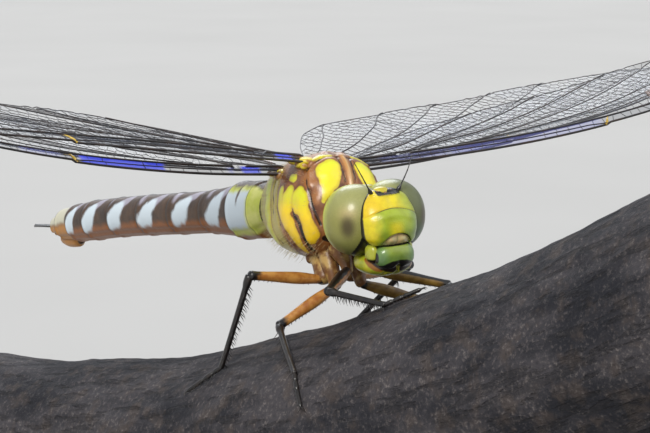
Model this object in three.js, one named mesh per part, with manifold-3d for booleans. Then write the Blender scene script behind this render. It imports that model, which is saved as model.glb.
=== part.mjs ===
// Southern hawker dragonfly, life size and still, gripping a cut length of branch that a
// flat base and two short rods carry.
//
// Millimetres, +Z up. The origin is the centre of the base's underside. The animal heads
// towards -Y, with its left side towards +X.

import * as THREE from 'three';
import { mergeVertices } from 'three/addons/utils/BufferGeometryUtils.js';
import Module from 'manifold-3d';

const wasm = await Module();
wasm.setup();

// ---------------------------------------------------------------- driving dimensions

const GAP = 0.05; // clearance between neighbouring plates
const LEFT = 1; // +X
const RIGHT = -1; // -X

// Where the centre of the thorax stands over the base. The animal and the branch are
// placed from this point.
const THORAX_CENTRE = [2.5, -2, 56];

// Head, in its own frame: origin between the eyes, facing -Y.
const HEAD = {
  centre: [0, -9.8, -0.4],
  turn: -1.5, // degrees about the vertical, towards the animal's right
  roll: 3.5, // degrees about the line it faces along, its left side up
};
const SKULL = { centre: [0, 1.35, -0.25], radii: [3.8, 1.25, 2.8], power: 2.6 };
const EYE = { offset: 1.83, centre: [0, 0, 0.12], radii: [2.8, 2.75, 3.08], power: 2.12, detail: [18, 11] };
const CLYPEUS = { centre: [0, -2.6, -0.55], radii: [2.3, 1.7, 1.75], power: 2.7 };
const FRONS = { centre: [0, -2.2, 1.45], radii: [2.05, 1.55, 1.02], power: 2.6 };
const LABRUM = { centre: [0, -3.35, -2.95], radii: [1.8, 0.9, 1], power: 2.5, detail: [12, 8] };
const MANDIBLE = { offset: 1.6, centre: [0, -2.45, -2.95], radii: [0.6, 0.8, 1], power: 2.3, detail: [8, 6] };
const LABIUM = { centre: [0, -1.1, -3.6], radii: [2.3, 2.6, 1.1], power: 2.4, detail: [12, 8] };
const ANTENNA = { root: [1.3, -1.95, 2.5], tip: [2.9, -2.05, 5.6], radius: 0.25 };

// Neck, prothorax and thorax: heights of the back and of the belly and half widths, as
// [place along the body, value] stops.
const NECK = { front: [0, -7.1, -1.1], rear: [0, -5.4, -1.5], radius: 0.8 };
const PROTHORAX = {
  ends: [-6.7, -4.6],
  back: [[-6.7, -0.1], [-5.8, 0.7], [-4.6, 0.6]],
  belly: [[-6.7, -2.9], [-5.8, -3.7], [-4.6, -3.9]],
  width: [[-6.7, 1.2], [-5.8, 1.9], [-4.6, 2.0]],
};
const THORAX = {
  ends: [-6.0, 7.0],
  back: [[-6, 0.6], [-5, 2.6], [-3.4, 4.1], [-2, 4.35], [1, 3.7], [4, 2.7], [6, 1.6], [7, 0.8]],
  belly: [[-6, -2.2], [-5, -3.6], [-3.2, -4.6], [-1, -5.1], [1.5, -5], [4, -4.3], [6, -3.5], [7, -2.9]],
  width: [[-6, 2.1], [-5, 3.4], [-3.4, 3.95], [-1, 4.05], [1.5, 3.8], [4, 3.2], [6, 2.4], [7, 1.9]],
};

// Superellipse powers of the sections: 2 is a true ellipse, more is squarer.
const TRUNK_POWER = 3;
const WING_POWER = 4;
const RING_POWER = 2.2;

// Wings. `forward` turns the wing towards the head, `lift` raises its tip, `pitch` raises
// its trailing edge and `sag` lowers its middle. Stops are shares of the length.
const WING_THICKNESS = 0.5;
const FOREWING = {
  length: 48,
  root: { [LEFT]: [2.2, -2.3, 3.3], [RIGHT]: [-2.2, -2.3, 4] },
  forward: 10,
  lift: { [LEFT]: 10.5, [RIGHT]: 8.2 },
  pitch: [[0, 5], [0.5, 12], [1, 15]],
  sag: { [LEFT]: 1.6, [RIGHT]: -0.2 },
  chord: [[0, 2.4], [0.06, 4.6], [0.13, 7], [0.25, 9.2], [0.45, 10.2], [0.65, 10.4], [0.8, 9.2],
    [0.9, 7], [0.96, 4.4], [1, 1]],
  lead: [[0, 0], [0.2, -0.5], [0.48, -0.6], [0.75, -0.2], [0.88, 0.6], [0.95, 1.7], [1, 3.6]],
};
const HINDWING = {
  length: 46.5,
  root: { [LEFT]: [2.2, 1.4, 2.2], [RIGHT]: [-2.2, 1.4, 2.5] },
  forward: -5,
  lift: { [LEFT]: 7, [RIGHT]: 11.3 },
  pitch: [[0, 9], [0.5, 10], [1, 13]],
  sag: { [LEFT]: 0.8, [RIGHT]: 1.7 },
  chord: [[0, 4.2], [0.05, 8.6], [0.11, 12], [0.2, 13.8], [0.35, 13.4], [0.55, 12.2], [0.75, 10],
    [0.88, 7.2], [0.95, 4.6], [1, 1]],
  lead: [[0, 0], [0.2, -0.7], [0.44, -0.6], [0.75, 0], [0.88, 0.9], [0.95, 2], [1, 3.8]],
};

// Abdomen: ten rings along one drooping line, each with its length and the half width and
// half height of its front and rear end.
const ABDOMEN = {
  path: [[0, 7.4, -1.75], [0, 24, -4.25], [0, 41, -6.9], [0, 58.3, -10.2]],
  rings: [
    { length: 1.8, front: [1.95, 2], rear: [2.4, 2.6] },
    { length: 4, front: [2.45, 2.7], rear: [2.5, 2.7] },
    { length: 6.6, front: [2.4, 2.55], rear: [2, 2.1] },
    { length: 7.1, front: [2, 2.05], rear: [2, 2.05] },
    { length: 7.1, front: [2, 2.05], rear: [2, 2.05] },
    { length: 7, front: [2, 2.05], rear: [2, 2.05] },
    { length: 6.4, front: [2, 2.05], rear: [2.05, 2.1] },
    { length: 4.4, front: [2.05, 2.1], rear: [2, 2] },
    { length: 3.4, front: [1.95, 1.95], rear: [1.8, 1.75] },
    { length: 2.2, front: [1.65, 1.5], rear: [1.35, 1.1] },
  ],
};
const CERCUS = { offset: 0.75, splay: 0.5, length: 4.3, halfWidth: 0.55, halfThickness: 0.25, rise: 0.35 };
const OVIPOSITOR = { from: 44.9, to: 50, halfWidth: 0.8, halfHeight: 0.85, drop: 1.9 };

// Perch: a rising centreline. `along` counts forwards from the point under the head, and
// `heading` is its plan direction, in degrees from -Y towards +X.
const PERCH = {
  under: [-0.8, -15.1, -17.1],
  heading: 15,
  slope: 0.36,
  curve: 0.0026,
  ends: [-62, 37],
  radius: 9.5,
  // Low waves of the bark: [size, rate along, count around, phase].
  waves: [[0.17, 0.13, 0, 1.1], [0.12, 0.31, 2, 0], [0.16, 0.05, 3, 0], [0.1, -0.09, 5, 0]],
  rings: 24,
  sides: 12,
};

// Legs: radii of each length of leg, then the socket and the hip on the left side, and the
// knees in the thorax's frame. Ankles and toes stand on the perch at [along, around], with
// `around` in degrees from its top towards the left.
const LEG = {
  coxa: { from: 0.85, belly: 0.8, to: 0.55 },
  femur: { from: 0.42, belly: 0.56, to: 0.4 },
  tibia: { from: 0.34, belly: 0.3, to: 0.26 },
  tarsus: { from: 0.26, belly: 0.25, to: 0.25 },
  clearance: 0.08, // between the tarsus and the bark
};
const LEGS = {
  fore: {
    socket: [1, -5.5, -3.2],
    hip: [0.95, -6.9, -5.3],
    [RIGHT]: { knee: [-5.4, -11.2, -6.1], ankle: [4.5, -16], toe: [7.3, -6] },
    [LEFT]: { knee: [7.7, -9.9, -6.9], ankle: [4, 32], toe: [7, 38] },
  },
  mid: {
    socket: [1.3, -3.9, -4.2],
    hip: [1.3, -5.5, -6.9],
    [RIGHT]: { knee: [-7.3, -5.9, -9.8], ankle: [-2.4, -54], toe: [-1, -73] },
    [LEFT]: { knee: [6.6, -7.4, -8.6], ankle: [-5, 62], toe: [-3, 78] },
  },
  hind: {
    socket: [1.5, -1.7, -4.3],
    hip: [1.6, -3.8, -6.5],
    [RIGHT]: { knee: [-9.3, -4.4, -5.4], ankle: [-14, -35], toe: [-17.2, -48.5] },
    [LEFT]: { knee: [8.4, -2.4, -6.2], ankle: [-14, 44], toe: [-17, 56] },
  },
};

const STAND = {
  base: [74, 88, 6], // width, depth and height of the plate
  corner: 6,
  rods: { rear: -40, front: 14 }, // where along the perch each rod meets it
  rodRadius: 2.2,
};

// ---------------------------------------------------------------- finishes

const FINISH = {
  face: { color: 0xb9c62c, roughness: 0.4 },
  labrum: { color: 0x6f9a4e, roughness: 0.4 },
  eye: { color: 0x77784a, roughness: 0.2 },
  skull: { color: 0x8d8a35, roughness: 0.5 },
  thorax: { color: 0x8a4a26, roughness: 0.4 },
  abdomen: { color: 0x8c8378, roughness: 0.5 },
  femur: { color: 0xa4541f, roughness: 0.45 },
  dark: { color: 0x17130f, roughness: 0.4 },
  wing: { color: 0x6a6256, roughness: 0.3 },
  bark: { color: 0x45393b, roughness: 0.95 },
  base: { color: 0x3a2417, roughness: 0.4 },
  rod: { color: 0xc9a25a, roughness: 0.35, metalness: 1 },
};

// ---------------------------------------------------------------- shape helpers

const X = new THREE.Vector3(1, 0, 0);
const Z = new THREE.Vector3(0, 0, 1);
const radians = THREE.MathUtils.degToRad;
const vec = ([x, y, z]) => new THREE.Vector3(x, y, z);
const onSide = ([x, y, z], side) => new THREE.Vector3(side * x, y, z);
const sideName = (side) => (side === LEFT ? 'left' : 'right');

/** A smooth curve through [place, value] stops. */
function profile(stops) {
  const spline = new THREE.CubicInterpolant(stops.map((s) => s[0]), stops.map((s) => s[1]), 1);
  return (place) => spline.evaluate(place)[0];
}

/** A closed section: a superellipse with the half sizes a and b along two axes. */
function section(centre, [axisA, axisB], [a, b], power, sides) {
  const ring = [];
  for (let i = 0; i < sides; i += 1) {
    const angle = (i / sides) * 2 * Math.PI;
    const c = Math.cos(angle);
    const s = Math.sin(angle);
    const reach = (Math.abs(c) ** power + Math.abs(s) ** power) ** (-1 / power);
    ring.push(centre.clone().addScaledVector(axisA, a * c * reach).addScaledVector(axisB, b * s * reach));
  }
  return ring;
}

/** A closed skin over sections of equal count, with a fan over each end. */
function skin(rings) {
  const count = rings[0].length;
  const last = rings.length - 1;
  const middle = (ring) => ring.reduce((sum, p) => sum.add(p), new THREE.Vector3()).divideScalar(count);
  const points = [...rings.flat(), middle(rings[0]), middle(rings[last])];
  const frontCap = count * rings.length;
  const index = [];
  for (let i = 0; i < count; i += 1) {
    const j = (i + 1) % count;
    for (let a = 0; a < last * count; a += count) {
      const b = a + count;
      index.push(a + i, a + j, b + j, a + i, b + j, b + i);
    }
    index.push(frontCap, j, i, frontCap + 1, last * count + i, last * count + j);
  }
  const geometry = new THREE.BufferGeometry().setFromPoints(points);
  geometry.setIndex(index);
  return facingOut(geometry);
}

/** Turns a closed skin's faces over where they point inwards. */
function facingOut(geometry) {
  const places = geometry.getAttribute('position');
  const index = geometry.getIndex().array;
  const [a, b, c] = [new THREE.Vector3(), new THREE.Vector3(), new THREE.Vector3()];
  let volume = 0;
  for (let i = 0; i < index.length; i += 3) {
    a.fromBufferAttribute(places, index[i]);
    b.fromBufferAttribute(places, index[i + 1]);
    c.fromBufferAttribute(places, index[i + 2]);
    volume += a.dot(b.cross(c));
  }
  if (volume < 0) {
    for (let i = 0; i < index.length; i += 3) {
      [index[i + 1], index[i + 2]] = [index[i + 2], index[i + 1]];
    }
  }
  return geometry;
}

/** Positions only, with shared corners as one. */
function merged(geometry) {
  geometry.deleteAttribute('normal');
  geometry.deleteAttribute('uv');
  return mergeVertices(geometry, 1e-4);
}

/** A rounded block: a sphere drawn out to a superellipsoid, `grow` larger all round. */
function lump({ centre, radii, power, detail = [14, 9] }, grow = 0) {
  const sphere = merged(new THREE.SphereGeometry(1, ...detail).rotateX(Math.PI / 2));
  const places = sphere.getAttribute('position');
  const point = new THREE.Vector3();
  for (let i = 0; i < places.count; i += 1) {
    point.fromBufferAttribute(places, i);
    const terms = point.toArray().map((value, axis) => Math.abs(value / (radii[axis] + grow)) ** power);
    point.multiplyScalar((terms[0] + terms[1] + terms[2]) ** (-1 / power)).add(vec(centre));
    places.setXYZ(i, point.x, point.y, point.z);
  }
  return facingOut(sphere);
}

/** A trunk along Y from profiles of its back, its belly and its half width. */
function trunk({ ends, back, belly, width }, grow = 0, steps = 12, sides = 18) {
  const [backAt, bellyAt, widthAt] = [profile(back), profile(belly), profile(width)];
  const rings = [];
  for (let i = 0; i <= steps; i += 1) {
    const share = (1 - Math.cos((i / steps) * Math.PI)) / 2;
    const y = THREE.MathUtils.lerp(ends[0], ends[1], share);
    const outward = Math.sign(share - 0.5) * (i === 0 || i === steps ? grow : 0);
    const centre = new THREE.Vector3(0, y + outward, (backAt(y) + bellyAt(y)) / 2);
    const halfHeight = (backAt(y) - bellyAt(y)) / 2;
    rings.push(section(centre, [X, Z], [widthAt(y) + grow, halfHeight + grow], TRUNK_POWER, sides));
  }
  return skin(rings);
}

/** A round limb along a curve, domed at both ends; `grow` is added all round. */
function limb(curve, { from, belly, to }, grow = 0, steps = 2, sides = 6) {
  const radiusAt = profile([[0, from], [0.35, belly], [1, to]]);
  const length = curve.getLength();
  const domes = [[0, 0.55], [0.6, 1]]; // [depth over radius, share of the radius]
  const stations = domes.map(([depth, share]) => [depth * from / length, share]);
  for (let i = 1; i < steps; i += 1) {
    stations.push([i / steps, 1]);
  }
  domes.toReversed().forEach(([depth, share]) => stations.push([1 - depth * to / length, share]));
  const rings = stations.map(([u, share], i) => {
    const tangent = curve.getTangentAt(u);
    const across = new THREE.Vector3().crossVectors(tangent, Z).normalize();
    const over = new THREE.Vector3().crossVectors(across, tangent);
    const outward = Math.sign(i - (stations.length - 1) / 2) * (share < 1 ? grow : 0);
    const centre = curve.getPointAt(u).addScaledVector(tangent, outward);
    const radius = radiusAt(u) * share + grow;
    return section(centre, [across, over], [radius, radius], 2, sides);
  });
  return skin(rings);
}

/** A closed geometry as a solid that can be cut. */
function solid(geometry) {
  const bare = merged(geometry.clone());
  const vertProperties = new Float32Array(bare.getAttribute('position').array);
  const triVerts = new Uint32Array(bare.getIndex().array);
  return new wasm.Manifold(new wasm.Mesh({ numProp: 3, vertProperties, triVerts }));
}

/** The largest body of a solid, as a geometry again. */
function largest(cut) {
  const [piece] = cut.decompose().sort((a, b) => b.volume() - a.volume());
  const mesh = piece.getMesh();
  const geometry = new THREE.BufferGeometry();
  geometry.setAttribute('position', new THREE.BufferAttribute(mesh.vertProperties, 3));
  geometry.setIndex(new THREE.BufferAttribute(mesh.triVerts, 1));
  return geometry;
}

/** A shape cut back by its grown neighbours. */
function cutBack(geometry, neighbours) {
  return largest(neighbours.reduce((left, other) => left.subtract(solid(other)), solid(geometry)));
}

/** Adds a named mesh with its finish to a group. */
function add(group, name, geometry, look) {
  const mesh = new THREE.Mesh(geometry, new THREE.MeshStandardMaterial(look));
  mesh.name = name;
  group.add(mesh);
}

// ---------------------------------------------------------------- perch

/** Centre and upward and leftward directions of the perch at a place along it. */
function perchFrame(along) {
  const turn = radians(PERCH.heading);
  const plan = new THREE.Vector3(Math.sin(turn), -Math.cos(turn), 0);
  const rise = PERCH.slope * along + PERCH.curve * along ** 2;
  const centre = vec(PERCH.under).addScaledVector(plan, along).addScaledVector(Z, rise);
  const forward = plan.clone().addScaledVector(Z, PERCH.slope + 2 * PERCH.curve * along).normalize();
  const left = new THREE.Vector3().crossVectors(forward, Z).normalize().negate();
  const up = new THREE.Vector3().crossVectors(left, forward).negate();
  return { centre, left, up };
}

/** Radius of the bark: nearly round, with low swellings and flutes. */
function barkRadius(along, angle) {
  const height = ([size, rate, count, phase]) => size * Math.sin(rate * along + count * angle + phase);
  return PERCH.waves.reduce((radius, wave) => radius + height(wave), PERCH.radius);
}

/** A point at a height over the bark, with `around` in degrees. */
function onBark([along, around], height = 0) {
  const { centre, left, up } = perchFrame(along);
  const angle = radians(around);
  const reach = barkRadius(along, angle) + height;
  return centre.addScaledVector(up, reach * Math.cos(angle)).addScaledVector(left, reach * Math.sin(angle));
}

/** The branch's skin, `grow` larger all round. */
function branch(grow = 0) {
  const rings = [];
  for (let i = 0; i <= PERCH.rings; i += 1) {
    const along = THREE.MathUtils.lerp(PERCH.ends[0], PERCH.ends[1], i / PERCH.rings);
    const ring = [];
    for (let k = 0; k < PERCH.sides; k += 1) {
      ring.push(onBark([along, (k / PERCH.sides) * 360], grow));
    }
    rings.push(ring);
  }
  return skin(rings);
}

// ---------------------------------------------------------------- head

function addHead(group) {
  const head = new THREE.Group();
  head.position.set(...HEAD.centre);
  head.rotation.set(0, -radians(HEAD.roll), radians(HEAD.turn), 'ZYX');
  group.add(head);

  // Each piece gives way to those before it.
  const placed = [];
  const place = (name, spec, look) => {
    add(head, name, cutBack(lump(spec), placed), look);
    placed.push(lump(spec, GAP));
  };
  const pair = (spec, side) => ({ ...spec, centre: [side * spec.offset, spec.centre[1], spec.centre[2]] });

  place('head', SKULL, FINISH.skull);
  place('clypeus', CLYPEUS, FINISH.face);
  place('frons', FRONS, FINISH.face);
  place('labrum', LABRUM, FINISH.labrum);
  for (const side of [LEFT, RIGHT]) {
    place(`mandible_${sideName(side)}`, pair(MANDIBLE, side), FINISH.face);
  }
  place('labium', LABIUM, FINISH.face);

  for (const side of [LEFT, RIGHT]) {
    const root = onSide(ANTENNA.root, side);
    const curve = new THREE.LineCurve3(root, onSide(ANTENNA.tip, side));
    const radii = { from: ANTENNA.radius, belly: ANTENNA.radius, to: ANTENNA.radius };
    add(head, `antenna_${sideName(side)}`, cutBack(limb(curve, radii, 0, 2, 6), placed), FINISH.dark);
    placed.push(limb(curve, radii, GAP, 2, 6));
  }

  // The eyes fill what is left, and meet at the middle.
  const eyes = new Map([LEFT, RIGHT].map((side) => [side, pair(EYE, side)]));
  for (const [side, spec] of eyes) {
    const middle = new THREE.BoxGeometry(8, 12, 12).translate(-side * (4 - GAP / 2), 0, 0);
    add(head, `eye_${sideName(side)}`, cutBack(lump(spec), [middle, ...placed]), FINISH.eye);
  }
}

// ---------------------------------------------------------------- thorax, wings, legs

function addThorax(group) {
  add(group, 'thorax', trunk(THORAX), FINISH.thorax);
  add(group, 'prothorax', cutBack(trunk(PROTHORAX, 0, 6, 12), [trunk(THORAX, GAP)]), FINISH.thorax);
  const neck = new THREE.LineCurve3(vec(NECK.front), vec(NECK.rear));
  const radii = { from: NECK.radius, belly: NECK.radius, to: NECK.radius };
  add(group, 'neck', cutBack(limb(neck, radii, 0, 2, 10), [trunk(PROTHORAX, GAP, 6, 12)]), FINISH.thorax);
}

/** A wing as a thin even plate, from its root to its rounded tip. */
function wing(spec, side, stations = 14, sides = 8) {
  const [chordAt, leadAt, pitchAt] = [profile(spec.chord), profile(spec.lead), profile(spec.pitch)];
  const forward = radians(spec.forward);
  const lift = radians(spec.lift[side]);
  const plan = new THREE.Vector3(side * Math.cos(forward), -Math.sin(forward), 0);
  const span = plan.clone().multiplyScalar(Math.cos(lift)).addScaledVector(Z, Math.sin(lift));
  const rearward = new THREE.Vector3(side * Math.sin(forward), Math.cos(forward), 0);
  const rings = [];
  for (let i = 0; i <= stations; i += 1) {
    const share = Math.sin((i / stations) * Math.PI / 2); // closer together towards the tip
    const pitch = radians(pitchAt(share));
    const chordLine = rearward.clone().multiplyScalar(Math.cos(pitch)).addScaledVector(Z, Math.sin(pitch));
    const over = new THREE.Vector3().crossVectors(span, chordLine).normalize();
    const centre = vec(spec.root[side])
      .addScaledVector(span, share * spec.length)
      .addScaledVector(Z, -spec.sag[side] * Math.sin(share * Math.PI))
      .addScaledVector(chordLine, leadAt(share) + chordAt(share) / 2);
    const half = [chordAt(share) / 2, WING_THICKNESS / 2];
    rings.push(section(centre, [chordLine, over], half, WING_POWER, sides));
  }
  return skin(rings);
}

function addWings(group) {
  const grownThorax = trunk(THORAX, GAP);
  for (const side of [LEFT, RIGHT]) {
    add(group, `forewing_${sideName(side)}`, cutBack(wing(FOREWING, side), [grownThorax]), FINISH.wing);
    add(group, `hindwing_${sideName(side)}`, cutBack(wing(HINDWING, side), [grownThorax]), FINISH.wing);
  }
}

function addLegs(group) {
  const trunkGrown = [trunk(THORAX, GAP), trunk(PROTHORAX, GAP, 6, 12)];
  for (const [pair, leg] of Object.entries(LEGS)) {
    for (const side of [LEFT, RIGHT]) {
      const { knee, ankle, toe } = leg[side];
      const lift = LEG.tarsus.from + LEG.clearance;
      const hip = onSide(leg.hip, side);
      const ankleAt = onBark(ankle, lift);
      const footAt = onBark([(ankle[0] + toe[0]) / 2, (ankle[1] + toe[1]) / 2], lift);
      const toeAt = onBark(toe, lift);
      const name = (part) => `${pair}${part}_${sideName(side)}`;
      const coxaLine = new THREE.LineCurve3(onSide(leg.socket, side), hip);
      const femurLine = new THREE.LineCurve3(hip, vec(knee));
      const tibiaLine = new THREE.LineCurve3(vec(knee), ankleAt);
      const tarsusLine = new THREE.QuadraticBezierCurve3(ankleAt, footAt, toeAt);

      add(group, name('coxa'), cutBack(limb(coxaLine, LEG.coxa, 0, 2, 7), trunkGrown), FINISH.thorax);
      const femur = cutBack(limb(femurLine, LEG.femur), [limb(coxaLine, LEG.coxa, GAP, 2, 7)]);
      add(group, name('femur'), femur, FINISH.femur);
      const tibia = cutBack(limb(tibiaLine, LEG.tibia), [limb(femurLine, LEG.femur, GAP)]);
      add(group, name('tibia'), tibia, FINISH.dark);
      const tarsus = cutBack(limb(tarsusLine, LEG.tarsus), [limb(tibiaLine, LEG.tibia, GAP)]);
      add(group, name('tarsus'), tarsus, FINISH.dark);
    }
  }
}

// ---------------------------------------------------------------- abdomen

function addAbdomen(group) {
  const path = new THREE.CatmullRomCurve3(ABDOMEN.path.map(vec));
  const length = path.getLength();

  /** Place and upward direction at a distance along the abdomen. */
  const at = (distance) => {
    const u = Math.min(distance / length, 1);
    const tangent = path.getTangentAt(u);
    const up = new THREE.Vector3().crossVectors(X, tangent);
    return { centre: path.getPointAt(u), tangent, up };
  };

  /** One ring of the abdomen from a distance along it, rounded over at both edges. */
  const ringSkin = (ring, from, grow = 0) => {
    const edgeStops = [[0, 0.9], [0.06, 1], [0.94, 1], [1, 0.9]];
    return skin(edgeStops.map(([share, size]) => {
      const { centre, up } = at(from + GAP / 2 + share * (ring.length - GAP));
      const half = [0, 1].map((k) => THREE.MathUtils.lerp(ring.front[k], ring.rear[k], share) * size + grow);
      return section(centre, [X, up], half, RING_POWER, 12);
    }));
  };

  const grownRings = [];
  let start = 0;
  ABDOMEN.rings.forEach((ring, i) => {
    add(group, `abdomen_${i + 1}`, ringSkin(ring, start), FINISH.abdomen);
    grownRings.push(ringSkin(ring, start, GAP));
    start += ring.length;
  });

  // The egg-laying keel under the ninth and tenth rings.
  const keelStops = [[0, 0.5], [0.15, 0.9], [0.5, 1], [0.85, 0.7], [1, 0.3]];
  const keel = keelStops.map(([share, size]) => {
    const { centre, up } = at(THREE.MathUtils.lerp(OVIPOSITOR.from, OVIPOSITOR.to, share));
    const half = [OVIPOSITOR.halfWidth * size, OVIPOSITOR.halfHeight * size];
    centre.addScaledVector(up, -OVIPOSITOR.drop * (1 - 0.25 * share));
    return section(centre, [X, up], half, RING_POWER, 10);
  });
  add(group, 'ovipositor', cutBack(skin(keel), grownRings), FINISH.abdomen);

  const tail = at(start + GAP);
  for (const side of [LEFT, RIGHT]) {
    const stops = [[0, 0.45], [0.12, 0.75], [0.45, 1], [0.8, 0.75], [1, 0.4]];
    const rings = stops.map(([share, size]) => {
      const centre = tail.centre.clone()
        .addScaledVector(tail.tangent, share * CERCUS.length)
        .addScaledVector(tail.up, share * CERCUS.rise)
        .add(new THREE.Vector3(side * (CERCUS.offset + CERCUS.splay * share), 0, 0));
      return section(centre, [X, tail.up], [CERCUS.halfWidth * size, CERCUS.halfThickness], RING_POWER, 8);
    });
    add(group, `cercus_${sideName(side)}`, skin(rings), FINISH.dark);
  }
}

// ---------------------------------------------------------------- stand

/** The base's outline: a rectangle with round corners. */
function plateOutline(width, depth, corner) {
  const outline = new THREE.Shape();
  const corners = [[1, -1], [1, 1], [-1, 1], [-1, -1]];
  corners.forEach(([x, y], i) => {
    const start = (i - 1) * Math.PI / 2;
    outline.absarc(x * (width / 2 - corner), y * (depth / 2 - corner), corner, start, start + Math.PI / 2);
  });
  return outline;
}

function addStand(group) {
  const [width, depth, height] = STAND.base;
  const settings = { depth: height, bevelEnabled: false, curveSegments: 4 };
  const plate = new THREE.ExtrudeGeometry(plateOutline(width, depth, STAND.corner), settings);
  add(group, 'stand_base', merged(plate), FINISH.base);

  // Each rod stands on the base and reaches into the bark's underside, cut to fit it.
  const bark = branch(GAP).translate(...THORAX_CENTRE);
  for (const [place, along] of Object.entries(STAND.rods)) {
    const top = perchFrame(along).centre.add(vec(THORAX_CENTRE));
    const length = top.z - height - GAP;
    const rod = new THREE.CylinderGeometry(STAND.rodRadius, STAND.rodRadius, length, 16).rotateX(Math.PI / 2);
    rod.translate(top.x, top.y, height + GAP + length / 2);
    add(group, `stand_rod_${place}`, cutBack(rod, [bark]), FINISH.rod);
  }
}

// ---------------------------------------------------------------- the model

const model = new THREE.Group();
const specimen = new THREE.Group();
specimen.position.set(...THORAX_CENTRE);
model.add(specimen);

addHead(specimen);
addThorax(specimen);
addWings(specimen);
addLegs(specimen);
addAbdomen(specimen);
add(specimen, 'perch_branch', branch(), FINISH.bark);
addStand(model);

export default model;
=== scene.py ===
"""Dresses the southern hawker dragonfly, its branch and its display stand.

Shapes are worked out in millimetres from the centre of the thorax, with the head towards
-Y and the left side towards +X. Each finished mesh is then placed in metres over the stand.
"""

import logging
import math
from dataclasses import dataclass
from enum import Enum
from functools import cached_property, reduce
from typing import Any, Callable, Sequence

import bmesh
import bpy
import numpy as np
from bpy.types import Material, Mesh, Node, NodeSocket, Object
from mathutils import Matrix, Vector
from mathutils.geometry import delaunay_2d_cdt


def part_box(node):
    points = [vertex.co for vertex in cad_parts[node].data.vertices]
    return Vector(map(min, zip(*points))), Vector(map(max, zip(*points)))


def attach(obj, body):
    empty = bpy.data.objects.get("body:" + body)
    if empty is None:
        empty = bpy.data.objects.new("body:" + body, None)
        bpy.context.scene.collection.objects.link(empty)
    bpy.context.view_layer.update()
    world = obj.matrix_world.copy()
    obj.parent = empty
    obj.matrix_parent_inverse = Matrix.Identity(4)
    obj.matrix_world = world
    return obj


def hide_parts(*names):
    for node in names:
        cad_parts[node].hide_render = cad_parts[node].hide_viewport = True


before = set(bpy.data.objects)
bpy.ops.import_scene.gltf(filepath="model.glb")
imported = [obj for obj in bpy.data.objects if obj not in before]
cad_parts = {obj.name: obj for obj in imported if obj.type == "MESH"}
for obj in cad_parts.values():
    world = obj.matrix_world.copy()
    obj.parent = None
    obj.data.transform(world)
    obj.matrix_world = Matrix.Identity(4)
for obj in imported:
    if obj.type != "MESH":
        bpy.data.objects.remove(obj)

MM = 0.001
THORAX_CENTRE = np.array([2.5, -2.0, 56.0])
X_AXIS, Y_AXIS, Z_AXIS = np.eye(3)
Stops = Sequence[Sequence[float]]
Point = Sequence[float]
Line = tuple[np.ndarray, Any]
Path = Sequence[tuple[Point, float]]
log = logging.getLogger("dragonfly")


class Side(Enum):
    """The two sides of the body, as the sign of X."""

    LEFT = 1
    RIGHT = -1

    @property
    def word(self) -> str:
        """The side's name in a node's name."""
        return self.name.lower()


# --- curves and points


def profile(stops: Stops) -> Callable[[Any], Any]:
    """Makes a smooth curve through stops that never swings past them.

    Args:
        stops: [place, value] pairs, in order.

    Returns:
        A function that takes a place, or an array of them, and gives the value.
    """
    xs, ys = (np.array(row, dtype=float) for row in zip(*stops))
    steps = np.diff(xs)
    slopes = np.diff(ys) / steps
    tangents = np.zeros_like(ys)
    inner = slopes[:-1] * slopes[1:] > 0
    mean = 2 * slopes[:-1] * slopes[1:] / np.where(inner, slopes[:-1] + slopes[1:], 1)
    tangents[1:-1] = np.where(inner, mean, 0)
    tangents[0], tangents[-1] = slopes[0], slopes[-1]

    def at(place: Any) -> Any:
        """The value at a place."""
        x = np.clip(place, xs[0], xs[-1])
        i = np.clip(np.searchsorted(xs, x, side="right") - 1, 0, len(steps) - 1)
        h = steps[i]
        t = (x - xs[i]) / h
        low = (1 + 2 * t) * (1 - t) ** 2 * ys[i] + t * (1 - t) ** 2 * h * tangents[i]
        high = t * t * (3 - 2 * t) * ys[i + 1] + t * t * (t - 1) * h * tangents[i + 1]
        return low + high

    return at


def smooth(value: Any, low: float, high: float) -> Any:
    """A soft step from 0 at `low` to 1 at `high`, which may be the lower number."""
    t = np.clip((np.asarray(value, dtype=float) - low) / (high - low), 0, 1)
    return t * t * (3 - 2 * t)


def hill(*offsets: Any) -> Any:
    """A soft hill: 1 where all the offsets are 0, falling off as they grow past 1."""
    return np.exp(-sum(np.square(offset) for offset in offsets))


def squared_ring(across: Any, upward: Any, power: float) -> Any:
    """Radius of a ring towards a direction: round for a power of 2, squarer for more."""
    return (np.abs(across) ** power + np.abs(upward) ** power) ** (-1 / power)


def unit(vector: Any) -> np.ndarray:
    """Vectors scaled to length 1."""
    vector = np.asarray(vector, dtype=float)
    return vector / np.linalg.norm(vector, axis=-1, keepdims=True)


def near(points: np.ndarray, line: Sequence[Point]) -> np.ndarray:
    """Distance of each point from a line of straight lengths.

    Args:
        points: the points, one in each row.
        line: the corners of the line.

    Returns:
        One distance for each point.
    """
    best = np.full(len(points), np.inf)
    corners = np.asarray(line, dtype=float)
    for a, b in zip(corners[:-1], corners[1:]):
        share = np.clip((points - a) @ (b - a) / ((b - a) @ (b - a)), 0, 1)
        best = np.minimum(best, np.linalg.norm(points - a - share[:, None] * (b - a), axis=1))
    return best


def wander(points: np.ndarray, rate: float, seed: float = 0.0) -> np.ndarray:
    """A soft uneven value for each point, between about -1 and 1.

    Args:
        points: the points, one in each row.
        rate: waves for each unit of length.
        seed: shifts the pattern.

    Returns:
        One value for each point.
    """
    x, y, z = (points * rate + seed).T
    first = np.sin(x * 1.3 + 1.7 * np.sin(y * 1.1 + z))
    second = np.sin(y * 1.7 + 1.3 * np.sin(z * 1.3 - x))
    return (first + second + np.sin(z * 1.9 + x * 0.7)) / 3


# --- shader kit


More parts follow.
